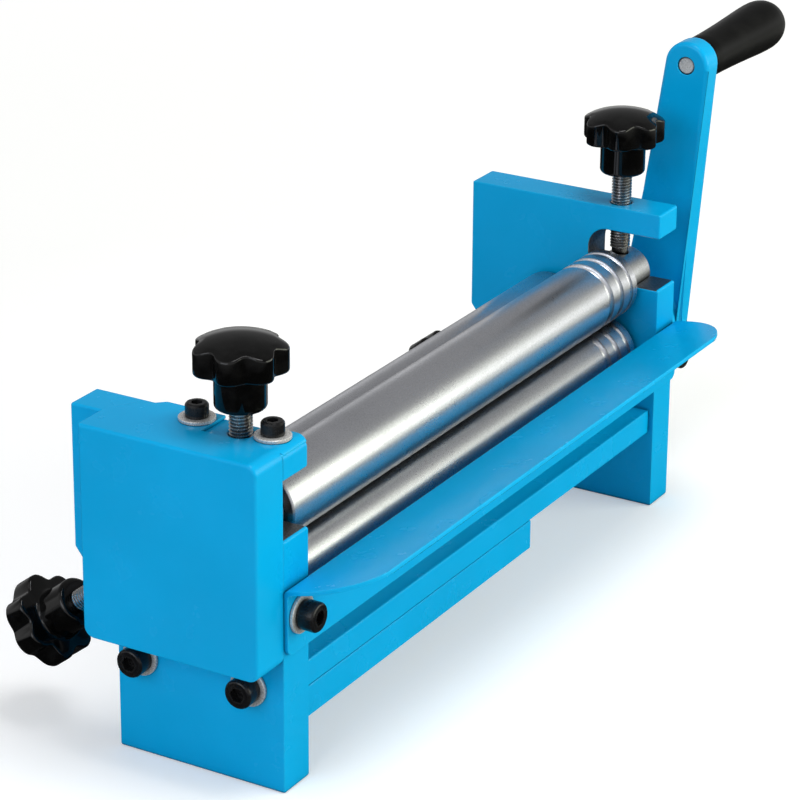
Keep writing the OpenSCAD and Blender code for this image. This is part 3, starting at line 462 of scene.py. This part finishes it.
# ---- Rolls ----
# Three ground and polished steel rolls with turned journals. The front pair has three
# half-round grooves for wire at the right end, and a reduced seat for a gear at the left. The
# lower roll's shaft runs on into the crank's hub and has a hexagon socket in its end.
def turn_up(name, axis, section, steps=96):
    """A piece turned on a lathe about X: section is its half outline, as (x, radius) in millimetres."""
    points = [Vector((axis.x + x / 1000, axis.y, axis.z + r / 1000)) for x, r in section]
    bpy.ops.object.select_all(action="DESELECT")
    bpy.ops.mesh.primitive_plane_add(size=0.001, location=points[0])
    piece = bpy.context.object
    piece.name = name
    bpy.ops.object.transform_apply(location=True, rotation=True, scale=True)
    work_on(piece)
    bpy.ops.mesh.select_mode(type="VERT")
    bpy.ops.mesh.merge(type="CENTER")
    for here, there in zip(points, points[1:]):
        bpy.ops.mesh.extrude_region_move(TRANSFORM_OT_translate={"value": there - here})
    bpy.ops.mesh.select_all(action="SELECT")
    bpy.ops.mesh.spin(steps=steps, angle=2 * math.pi, center=axis, axis=(1, 0, 0), use_auto_merge=False)
    bpy.ops.mesh.select_all(action="SELECT")
    bpy.ops.mesh.remove_doubles(threshold=0.000002)
    bpy.ops.mesh.normals_make_consistent(inside=False)
    bpy.ops.object.mode_set(mode="OBJECT")
    return piece


def arc(x, r, radius, start, end, steps):
    """Points of a round corner or groove in a half outline."""
    turns = [math.radians(start + (end - start) * i / steps) for i in range(steps + 1)]
    return [(x + radius * math.cos(a), r + radius * math.sin(a)) for a in turns]


barrel_end, barrel_r, journal_r, plate_outer = 157.5, 17.0, 9.0, 180
gear_seat_start, gear_seat_end, gear_seat_r = -193.2, -181.5, 7
groove_points = []
for place_from_end, width in ((28, 5), (17, 4), (7, 3)):
    groove_points += arc(barrel_end - place_from_end, barrel_r, width / 2, 180, 360, 10)


def roll_section(left, left_r, neck, right, grooves):
    """Half outline of a roll from the left end of its shaft to the right end, closed at both ends."""
    edge = 0.6
    section = [(left, 0), (left, left_r - edge), (left + edge, left_r), (neck, left_r)]
    if left_r != journal_r:
        section += [(neck, journal_r - 0.3), (neck + 0.3, journal_r)]
    section += [(-barrel_end, journal_r), (-barrel_end, barrel_r - 1.0), (0.3 - barrel_end, barrel_r - 0.45),
                (1.0 - barrel_end, barrel_r)]
    section += grooves
    section += [(barrel_end - 1.0, barrel_r), (barrel_end - 0.3, barrel_r - 0.45), (barrel_end, barrel_r - 1.0),
                (barrel_end, journal_r)]
    return section + right


def put_on_machine(name, axis, section, steps, material, body, slot, node, smooth=30):
    """Turns a piece up, shades it and puts it on the machine in place of the plain solid."""
    piece = turn_up(name, axis, section, steps)
    bpy.ops.object.shade_smooth_by_angle(angle=math.radians(smooth))
    piece.data.materials.append(material)
    fit_on(piece, body, slot, node)
    return piece


def roll_axis(node):
    low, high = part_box(node)
    return Vector((middle_x, (low.y + high.y) / 2, (low.z + high.z) / 2))


shaft_end = 1000 * (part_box("lower_roll")[1].x - middle_x)
lower_axis, upper_axis, rear_axis = (roll_axis(n) for n in ("lower_roll", "upper_roll", "rear_roll"))
plain_end = [(plate_outer - 0.6, journal_r), (plate_outer, journal_r - 0.6), (plate_outer, 0)]
crank_seat_r, hexagon_r, hexagon_deep = 8.0, 4.0, 5.3
crank_end = [(180.3, journal_r), (180.3, crank_seat_r), (shaft_end - 0.6, crank_seat_r),
             (shaft_end, crank_seat_r - 0.6), (shaft_end, 0)]
roll_look = dict(Steel=(0.73, 0.74, 0.79, 1), Dull=(0.48, 0.49, 0.525, 1), Lines=3200.0, Patches=30.0,
                 Smooth=0.24, Rough=0.36)
for node, axis, section, body in (
    ("lower_roll", lower_axis, roll_section(gear_seat_start, gear_seat_r, gear_seat_end, crank_end,
                                            groove_points), "lower_shaft"),
    ("upper_roll", upper_axis, roll_section(gear_seat_start, gear_seat_r, gear_seat_end, plain_end,
                                            groove_points), "upper_shaft"),
    ("rear_roll", rear_axis, roll_section(-plate_outer, journal_r, 10 - plate_outer, plain_end, []), "rear_shaft"),
):
    # Reach sets how far the painted shade between the rolls and over the tray spreads on each roll
    ground = steel(node + "_steel", axis, Reach=0.007 if node == "lower_roll" else 0.036, **roll_look)
    made = put_on_machine(node + "_ground", axis, section, 128, ground, body, "roll_steel", node)
    if node == "lower_roll":
        bpy.ops.object.select_all(action="DESELECT")
        bpy.ops.mesh.primitive_cylinder_add(vertices=6, radius=hexagon_r / 1000, depth=2 * hexagon_deep / 1000,
                                            location=axis + Vector((shaft_end / 1000, 0, 0)),
                                            rotation=(0, math.radians(90), 0))
        hexagon = bpy.context.object
        cut = made.modifiers.new("hexagon_socket", "BOOLEAN")
        cut.object, cut.operation = hexagon, "DIFFERENCE"
        bpy.context.view_layer.objects.active = made
        bpy.ops.object.modifier_apply(modifier="hexagon_socket")
        bpy.data.objects.remove(hexagon)


# ---- Gears ----
# A pair of equal hobbed steel gears, keyed to the front rolls' shafts and each held by a
# washer and a low screw. The cover hides them.
def give_finish(node, material):
    """Gives its finish to a solid that is shown as it comes from the frame."""
    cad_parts[node].data.materials.clear()
    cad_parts[node].data.materials.append(material)


for row, axis in (("lower", lower_axis), ("upper", upper_axis)):
    for node in (row + "_gear", row + "_gear_key"):
        give_finish(node, steel(node + "_steel", axis, Steel=(0.4, 0.41, 0.43, 1), Dull=(0.18, 0.17, 0.15, 1),
                                Lines=700.0, Patches=120.0, Smooth=0.25, Rough=0.45))


# ---- Thumb screws ----
# Four 10 mm screws with a 1.5 mm thread, rolled bright, and a plain 8 mm tip that stands in a
# bush's pocket. Two press the upper roll down. Two, on a slope, set the rear roll.
thread_pitch, crest_r, root_r, tip_r = 1.5, 4.95, 4.15, 4.0
slope = math.radians(38)


def threaded_rod(name, start, end, tip_end, matrix):
    """A screw along Z from start to end in millimetres, with a plain tip below tip_end."""
    bpy.ops.object.select_all(action="DESELECT")
    bpy.ops.mesh.primitive_plane_add(size=0.001)
    thread = bpy.context.object
    thread.name = name
    work_on(thread)
    bpy.ops.mesh.select_mode(type="VERT")
    bpy.ops.mesh.merge(type="CENTER")
    turns = int((end - tip_end) / thread_pitch) - 1
    core_r = root_r + 0.15
    outline = [(crest_r, 0), (crest_r, 0.2), (root_r, 0.65), (root_r, 0.95), (crest_r, thread_pitch)]
    bpy.ops.transform.translate(value=(outline[0][0] / 1000, 0, tip_end / 1000))
    for (r0, z0), (r1, z1) in zip(outline, outline[1:]):
        bpy.ops.mesh.extrude_region_move(
            TRANSFORM_OT_translate={"value": ((r1 - r0) / 1000, 0, (z1 - z0) / 1000)})
    bpy.ops.object.mode_set(mode="OBJECT")
    wound = thread.modifiers.new("thread", "SCREW")
    wound.axis, wound.angle, wound.screw_offset = "Z", 2 * math.pi, thread_pitch / 1000
    wound.iterations, wound.steps, wound.render_steps = turns, 32, 32
    wound.use_merge_vertices = True
    bpy.ops.object.modifier_apply(modifier="thread")
    work_on(thread)
    bpy.ops.mesh.remove_doubles(threshold=0.00001)
    bpy.ops.mesh.fill_holes(sides=0)
    bpy.ops.mesh.normals_make_consistent(inside=False)
    bpy.ops.object.mode_set(mode="OBJECT")
    body = turn_up(name + "_core", Vector((0, 0, 0)), [
        (start, 0), (start, tip_r - 0.8), (start + 0.8, tip_r), (tip_end, tip_r), (tip_end + 0.3, core_r),
        (end - 1.2, core_r), (end, core_r - 0.7), (end, 0)], 48)
    body.data.transform(Matrix.Rotation(math.radians(-90), 4, "Y"))
    bpy.ops.object.select_all(action="DESELECT")
    body.select_set(True)
    thread.select_set(True)
    bpy.context.view_layer.objects.active = thread
    bpy.ops.object.join()
    bpy.ops.object.shade_smooth_by_angle(angle=math.radians(50))
    thread.data.transform(matrix)
    return thread


# Bright rolled thread steel, with painted shade down in the roots of the thread
def steel_upright(name, centre, turn):
    return steel(name, centre, turn, Steel=(0.85, 0.84, 0.83, 1), Dull=(0.4, 0.39, 0.38, 1), Lines=500.0,
                 Patches=150.0, Smooth=0.2, Rough=0.34, Reach=0.0002, Root=0.0042)


def down_slope(x):
    """The place of a rear screw, whose Z runs down the slope from the rear roll's axis."""
    return Matrix.Translation((x, rear_axis.y, rear_axis.z)) @ Matrix.Rotation(-slope - math.pi / 2, 4, "X")


# How far the rear screws' tips and outer ends stand from the rear roll's axis, and how long the
# plain tips of both kinds are
rear_start, rear_end, lift_tip, rear_tip = 10.55, 85.467, 4.3, 4.35
for side in ("left", "right"):
    low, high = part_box(side + "_lift_screw")
    centre = (low + high) / 2
    rod = threaded_rod(side + "_lift_rod", low.z * 1000, high.z * 1000, low.z * 1000 + lift_tip,
                       Matrix.Translation((centre.x, centre.y, 0)))
    rod.data.materials.append(steel_upright(side + "_lift_steel", centre, (0, math.radians(-90), 0)))
    fit_on(rod, side + "_lift", "screw_steel", side + "_lift_screw")
    rod = threaded_rod(side + "_rear_rod", rear_start, rear_end, rear_start + rear_tip, down_slope(centre.x))
    rod.data.materials.append(steel_upright(side + "_rear_steel", Vector((centre.x, rear_axis.y, rear_axis.z)),
                                            (0, slope, math.pi / 2)))
    fit_on(rod, side + "_rear", "screw_steel", side + "_rear_screw")


# ---- Knobs ----
# Seven-lobed star knobs, moulded in glossy black plastic over the screw's end, with a round
# hub below the rim. The top is one low dome, cut off by the valleys between the lobes.
# Moulded black plastic: fine pits, with lighter, duller rubbed patches and edges, the edges partly wear and partly
# a painted highlight
grain, given = shader_group(
    "moulded_grain",
    [("Plastic", "NodeSocketColor", (0.002, 0.002, 0.002, 1)),
     ("Scuff", "NodeSocketColor", (0.006, 0.006, 0.006, 1)), ("Grain", "NodeSocketFloat", 1500.0),
     ("Smooth", "NodeSocketFloat", 0.12), ("Rough", "NodeSocketFloat", 0.22)],
    [("Color", "NodeSocketColor"), ("Roughness", "NodeSocketFloat"), ("Height", "NodeSocketFloat")])
place = add_node(grain, "ShaderNodeTexCoord").outputs["Object"]
rub = add_node(grain, "ShaderNodeTexNoise", {"Vector": place, "Scale": 90.0, "Detail": 5.0, "Roughness": 0.65})
rubbed = add_node(grain, "ShaderNodeMapRange", {"Value": rub.outputs["Fac"], "From Min": 0.45, "From Max": 0.75})
edge = add_node(grain, "ShaderNodeGroup", node_tree=edge_mask)
edge.inputs["Reach"].default_value = 0.0015
wear_and_edge_highlight = add_node(grain, "ShaderNodeMath", {0: edge.outputs["Mask"], 1: rubbed.outputs[0]}, operation="MAXIMUM")
shade = add_node(grain, "ShaderNodeMix", {0: wear_and_edge_highlight.outputs[0], 6: given["Plastic"], 7: given["Scuff"]},
                 data_type="RGBA")
sheen = add_node(grain, "ShaderNodeMapRange", {"Value": rubbed.outputs[0], "To Min": given["Smooth"],
                                              "To Max": given["Rough"]})
pits = add_node(grain, "ShaderNodeTexNoise", {"Vector": place, "Scale": given["Grain"], "Detail": 2.0})
add_node(grain, "NodeGroupOutput", {"Color": shade.outputs[2], "Roughness": sheen.outputs[0],
                                   "Height": pits.outputs["Fac"]})


def plastic(name, bump, gloss, **values):
    made, shader = new_material(name, (0.01, 0.01, 0.01, 1))
    skin = add_node(made.node_tree, "ShaderNodeGroup", node_tree=grain)
    for key, value in values.items():
        skin.inputs[key].default_value = value
    join_surface(made, shader, skin, bump)
    shader.inputs["Specular IOR Level"].default_value = gloss
    return made


knob_plastic = plastic("knob_plastic", 0.000004, 0.25, Plastic=(0.001, 0.001, 0.001, 1), Smooth=0.06,
                       Rough=0.13)
knob_r, hub_r, rim_low, rim_high, knob_top = 20.0, 11.0, 16.0, 27.0, 32.0
knob_lobes, valley_depth, lobes_from_r = 7, 3.5, 9.0
dome_r = (knob_r ** 2 + (knob_top - rim_high) ** 2) / (2 * (knob_top - rim_high))


def dome_height(r):
    return knob_top - dome_r + math.sqrt(dome_r ** 2 - r ** 2)


def star_knob(name, matrix):
    """A knob along Z with its hub's lower face at zero and a lobe along X."""
    section = [(0, 0), (0, 8.0)]
    section += arc(2.0, 9.0, 2.0, 180, 90, 5)
    section += [(rim_low - 2.2, hub_r)]
    section += arc(rim_low - 2.2, hub_r + 1.8, 1.8, -90, 0, 4)[1:]
    section += [(rim_low - 0.2, 17.0)]
    section += arc(rim_low + 1.4, knob_r - 1.4, 1.4, 180, 90, 5)
    section += arc(rim_high - 1.4, knob_r - 1.5, 1.5, 90, 20, 6)
    section += [(dome_height(r) - 0.15, r) for r in (17.0, 15.0, 13.0, 11.0, 8.5, 6.0, 3.5, 1.5)]
    section += [(knob_top - 0.15, 0)]
    piece = turn_up(name, Vector((0, 0, 0)), section, 112)
    piece.data.transform(Matrix.Rotation(math.radians(-90), 4, "Y"))
    for v in piece.data.vertices:
        r, turn = math.hypot(v.co.x, v.co.y), math.atan2(v.co.y, v.co.x)
        if v.co.z * 1000 > rim_low - 1.0 and r > 0.0001:
            reach = min(1, max(0, (r * 1000 - lobes_from_r) / (knob_r - lobes_from_r))) ** 1.5
            valley = (0.5 - 0.5 * math.cos(knob_lobes * turn)) ** 1.4
            inwards = 1 - valley_depth / 1000 * reach * valley / r
            v.co.x, v.co.y = v.co.x * inwards, v.co.y * inwards
            if v.co.z * 1000 > rim_high - 2.0:
                v.co.z += (dome_height(1000 * r * inwards) - dome_height(1000 * r)) / 1000
    bpy.ops.object.shade_smooth_by_angle(angle=math.radians(40))
    piece.data.transform(matrix)
    return piece


# How far the rear knobs' hubs stand from the rear roll's axis, and the angles in degrees at which
# the lift knobs and the rear knobs have come to stand
rear_knob = 65.467
for side, lift_turn, rear_turn in (("left", 195, -90), ("right", -6, -64)):
    low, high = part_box(side + "_lift_screw")
    centre = (low + high) / 2
    knob_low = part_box(side + "_lift_knob")[0].z
    knob = star_knob(side + "_lift_star", Matrix.Translation((centre.x, centre.y, knob_low))
                     @ Matrix.Rotation(math.radians(lift_turn), 4, "Z"))
    knob.data.materials.append(knob_plastic)
    fit_on(knob, side + "_lift", "knob_plastic", side + "_lift_knob")
    knob = star_knob(side + "_rear_star", down_slope(centre.x) @ Matrix.Translation((0, 0, rear_knob / 1000))
                     @ Matrix.Rotation(math.radians(rear_turn), 4, "Z"))
    knob.data.materials.append(knob_plastic)
    fit_on(knob, side + "_rear", "knob_plastic", side + "_rear_knob")


# ---- Crank arm ----
# A cast and painted arm whose boss is bored for the lower roll's shaft and clamped on it by a
# socket screw. The face away from the plate is recessed round the shaft's end.
grip_low, grip_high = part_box("crank_grip")
grip_axis = (grip_low + grip_high) / 2
arm_thick, grip_gap = 13.2, 0.3
arm_faces = [1000 * (grip_low.x - middle_x) - grip_gap - t for t in (0, arm_thick)]


def on_arm_outline(p):
    hub = math.hypot(p.y - 1000 * (lower_axis.y - front_y), p.z - 1000 * lower_axis.z)
    eye = math.hypot(p.y - 1000 * (grip_axis.y - front_y), p.z - 1000 * grip_axis.z)
    return min(abs(p.x - x) for x in arm_faces) < 0.05 and hub > 12 and eye > 7


arm = copy_of("crank_arm", "crank")
round_edges(arm, on_arm_outline, 2.4, segments=5)
finish_edges(arm, 0.4)
arm.data.materials.append(blue_paint)
fit_on(arm, "lower_shaft", "blue_paint", "crank_arm")


# ---- Grip and its bolt ----
# A moulded black grip that spins on a bolt through the arm's end. It flares to its widest near
# the outer end, which is rounded over and recessed for the bolt's slotted head.
grip_start = Vector((grip_low.x, grip_axis.y, grip_axis.z))
grip_section = [(0, 4.6), (0, 9.3)] + arc(1.6, 9.4, 1.6, 180, 90, 4)
grip_section += [(8, 10.9), (16, 11.0), (26, 11.25), (36, 11.6), (46, 12.05), (55, 12.5), (62, 12.8),
                 (68, 12.95), (72.5, 12.9)]
grip_section += [(75.5, 12.6), (78, 12.05), (80, 11.3), (81.5, 10.4), (82.5, 9.5), (83, 8.8), (82.9, 8.3),
                 (82.4, 8.05), (77.5, 8.0), (77.5, 4.6), (0, 4.6)]
put_on_machine("grip_moulded", grip_start, grip_section, 96,
               plastic("grip_plastic", 0.00001, 0.06, Plastic=(0.003, 0.003, 0.003, 1),
                       Scuff=(0.007, 0.007, 0.007, 1), Smooth=0.36, Rough=0.48, Grain=1100.0),
               "grip", "grip_plastic", "crank_grip", 40)

bolt_low, bolt_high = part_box("grip_bolt")
bolt_l = 1000 * (bolt_high.x - bolt_low.x)
shank_r, head_r, head_thick = 4.5, 7.0, 3.5
slot_width, slot_length, slot_deep = 2.0, 20.0, 1.75
bolt = put_on_machine("bolt_turned", Vector((bolt_low.x, grip_axis.y, grip_axis.z)),
                      [(0.4, 0), (0.4, 3.7), (1.0, 4.3), (1.4, shank_r), (bolt_l - head_thick, shank_r),
                       (bolt_l - head_thick, head_r), (bolt_l - 0.8, head_r), (bolt_l - 0.2, 6.6),
                       (bolt_l, 5.9), (bolt_l, 0)], 64,
                      steel("bolt_steel", grip_axis, metal=0.5, Steel=(0.8, 0.8, 0.8, 1),
                            Dull=(0.36, 0.37, 0.38, 1), Lines=900.0, Patches=260.0, Smooth=0.2, Rough=0.42),
                      "lower_shaft", "screw_steel", "grip_bolt")
bpy.ops.object.select_all(action="DESELECT")
bpy.ops.mesh.primitive_cube_add(size=1, location=(bolt_high.x, grip_axis.y, grip_axis.z),
                                scale=(2 * slot_deep / 1000, slot_length / 1000, slot_width / 1000))
slot_cutter = bpy.context.object
cut = bolt.modifiers.new("slot", "BOOLEAN")
cut.object, cut.operation = slot_cutter, "DIFFERENCE"
bpy.context.view_layer.objects.active = bolt
bpy.ops.object.modifier_apply(modifier="slot")
bpy.data.objects.remove(slot_cutter)


# ---- Socket screws and washers ----
# Black oxide socket head screws with knurled heads, on bright zinc-plated washers: two hold
# the cover's flange, two each end plate to the bed bar, two the feed tray, and one the crank.
oxide, shader = new_material("black_oxide", (0.02, 0.02, 0.02, 1))
skin = add_node(oxide.node_tree, "ShaderNodeGroup", node_tree=grain)
# Lighter edges and rubbed patches, partly wear and partly a painted highlight
for key, value in dict(Plastic=(0.006, 0.006, 0.007, 1), Scuff=(0.02, 0.02, 0.02, 1), Grain=2500.0, Smooth=0.22,
                       Rough=0.4).items():
    skin.inputs[key].default_value = value
join_surface(oxide, shader, skin, 0.000005)
shader.inputs["Metallic"].default_value = 0.15
shader.inputs["Specular IOR Level"].default_value = 0.25


def socket_screw(name, d, length):
    """A socket head screw along X whose head stands on zero, with a knurl round the head."""
    around, head_r = 72, (1.5 * d + 1) / 2
    piece = turn_up(name, Vector((0, 0, 0)), [
        (-length, 0), (-length, d / 2 - 0.8), (0.8 - length, d / 2), (0, d / 2), (0, head_r - 0.3), (0.3, head_r),
        (d - 1.2, head_r), (d - 0.9, head_r - 0.1), (d - 0.25, head_r - 0.6), (d, head_r - 1.1), (d, 0)], around)
    for v in piece.data.vertices:
        r = math.hypot(v.co.y, v.co.z)
        step = round(math.atan2(v.co.z, v.co.y) / (2 * math.pi) * around)
        if abs(r * 1000 - head_r) < 0.01 and step % 2:
            v.co.y, v.co.z = v.co.y * (1 - 0.0001 / r), v.co.z * (1 - 0.0001 / r)
    bpy.ops.object.select_all(action="DESELECT")
    bpy.ops.mesh.primitive_cylinder_add(vertices=6, radius=0.75 * d / 2 / math.cos(math.radians(30)) / 1000,
                                        depth=d / 1000, location=(d / 1000, 0, 0),
                                        rotation=(0, math.radians(90), 0))
    hexagon = bpy.context.object
    cut = piece.modifiers.new("hexagon_socket", "BOOLEAN")
    cut.object, cut.operation = hexagon, "DIFFERENCE"
    bpy.context.view_layer.objects.active = piece
    bpy.ops.object.modifier_apply(modifier="hexagon_socket")
    bpy.data.objects.remove(hexagon)
    bpy.ops.object.select_all(action="DESELECT")
    piece.select_set(True)
    bpy.ops.object.shade_smooth_by_angle(angle=math.radians(25))
    piece.data.materials.append(oxide)
    return piece


washer_thick = 1.6


def washer(name, outer, hole):
    """A washer along X that stands on zero."""
    edge, outer_r, hole_r = 0.25, outer / 2, hole / 2
    piece = turn_up(name, Vector((0, 0, 0)), [
        (0, hole_r), (0, outer_r - edge), (edge, outer_r), (washer_thick - edge, outer_r),
        (washer_thick, outer_r - edge), (washer_thick, hole_r + edge), (washer_thick - edge, hole_r),
        (0, hole_r)], 72)
    bpy.ops.object.shade_smooth_by_angle(angle=math.radians(30))
    return piece


def set_out(model, name, matrices, body, slot, node, material=None):
    """Copies one model to each place, as a single piece of loose parts."""
    copies = []
    for matrix in matrices:
        one = bpy.data.objects.new(name, model.data.copy())
        scene.collection.objects.link(one)
        one.data.transform(matrix)
        if material:
            one.data.materials.clear()
            one.data.materials.append(material)
        copies.append(one)
    bpy.ops.object.select_all(action="DESELECT")
    for one in copies:
        one.select_set(True)
    bpy.context.view_layer.objects.active = copies[0]
    if len(copies) > 1:
        bpy.ops.object.join()
    copies[0].name = name
    fit_on(copies[0], body, slot, node)
    return copies[0]


quarter = math.pi / 2
zinc = steel("zinc_plate", at(0, 0, 0), metal=0.45, Steel=(0.8, 0.79, 0.78, 1),
             Dull=(0.58, 0.57, 0.56, 1), Lines=400.0, Patches=350.0, Smooth=0.18, Rough=0.36)
up = Matrix.Rotation(-quarter, 4, "Y")
to_front = Matrix.Rotation(-quarter, 4, "Z")
to_left = Matrix.Rotation(math.pi, 4, "Z")
plate_mid, bar_mid, tray_front, tray_screw_z = 170.5, 45.5, -2, 80
cover_screw_y, frame_screw_y = (10.7, 47.3), (17, 71)
raised = Matrix.Translation((washer_thick / 1000, 0, 0))
cover_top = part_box("gear_cover")[1].z * 1000
cover_places = [Matrix.Translation(at(-plate_mid, y, cover_top)) @ up for y in cover_screw_y]
left_places = [Matrix.Translation(at(-plate_outer, y, bar_mid)) @ to_left for y in frame_screw_y]
right_places = [Matrix.Translation(at(plate_outer, y, bar_mid)) for y in frame_screw_y]
tray_places = [Matrix.Translation(at(x, tray_front, tray_screw_z)) @ to_front
               for x in (-plate_mid, plate_mid)]

m8_long = socket_screw("m8_long", 8, 34.6)
m8_short = socket_screw("m8_short", 8, 12.6)
m6 = socket_screw("m6", 6, 13.1)
set_out(m8_long, "left_frame_bolts", [p @ raised for p in left_places], "frame", "black_oxide",
        "left_frame_screws")
set_out(m8_long, "right_frame_bolts", [p @ raised for p in right_places], "frame", "black_oxide",
        "right_frame_screws")
set_out(m8_short, "tray_bolts", [p @ raised for p in tray_places], "frame", "black_oxide", "tray_screws")
set_out(m6, "cover_bolts", [p @ raised for p in cover_places], "frame", "black_oxide", "cover_screws")

washer_m8 = washer("washer_m8", 17, 8.5)
washer_m6 = washer("washer_m6", 15.6, 6.5)
set_out(washer_m8, "left_frame_rings", left_places, "frame", "zinc_plate", "left_frame_washers", zinc)
set_out(washer_m8, "right_frame_rings", right_places, "frame", "zinc_plate", "right_frame_washers", zinc)
set_out(washer_m8, "tray_rings", tray_places, "frame", "zinc_plate", "tray_washers", zinc)
set_out(washer_m6, "cover_rings", cover_places, "frame", "zinc_plate", "cover_washers", zinc)

# The crank's set screw stands square to the arm on the flat of the shaft
m6_set = socket_screw("m6_set", 6, 8.2)
set_screw_x, set_screw_seat = 193.7, 15.2
crank_angle = math.atan2(grip_axis.z - lower_axis.z, grip_axis.y - lower_axis.y)
seat = (Matrix.Translation(lower_axis + Vector((set_screw_x / 1000, 0, 0)))
        @ Matrix.Rotation(crank_angle - math.pi, 4, "X") @ Matrix.Translation((0, 0, set_screw_seat / 1000)) @ up)
set_out(m6_set, "crank_bolt", [seat], "lower_shaft", "black_oxide", "crank_set_screw")

for model in (m8_long, m8_short, m6, m6_set, washer_m8, washer_m6):
    bpy.data.objects.remove(model)

# What holds the gears on, inside the cover
for row in ("lower", "upper"):
    give_finish(row + "_gear_screw", oxide)
    give_finish(row + "_gear_washer", zinc)
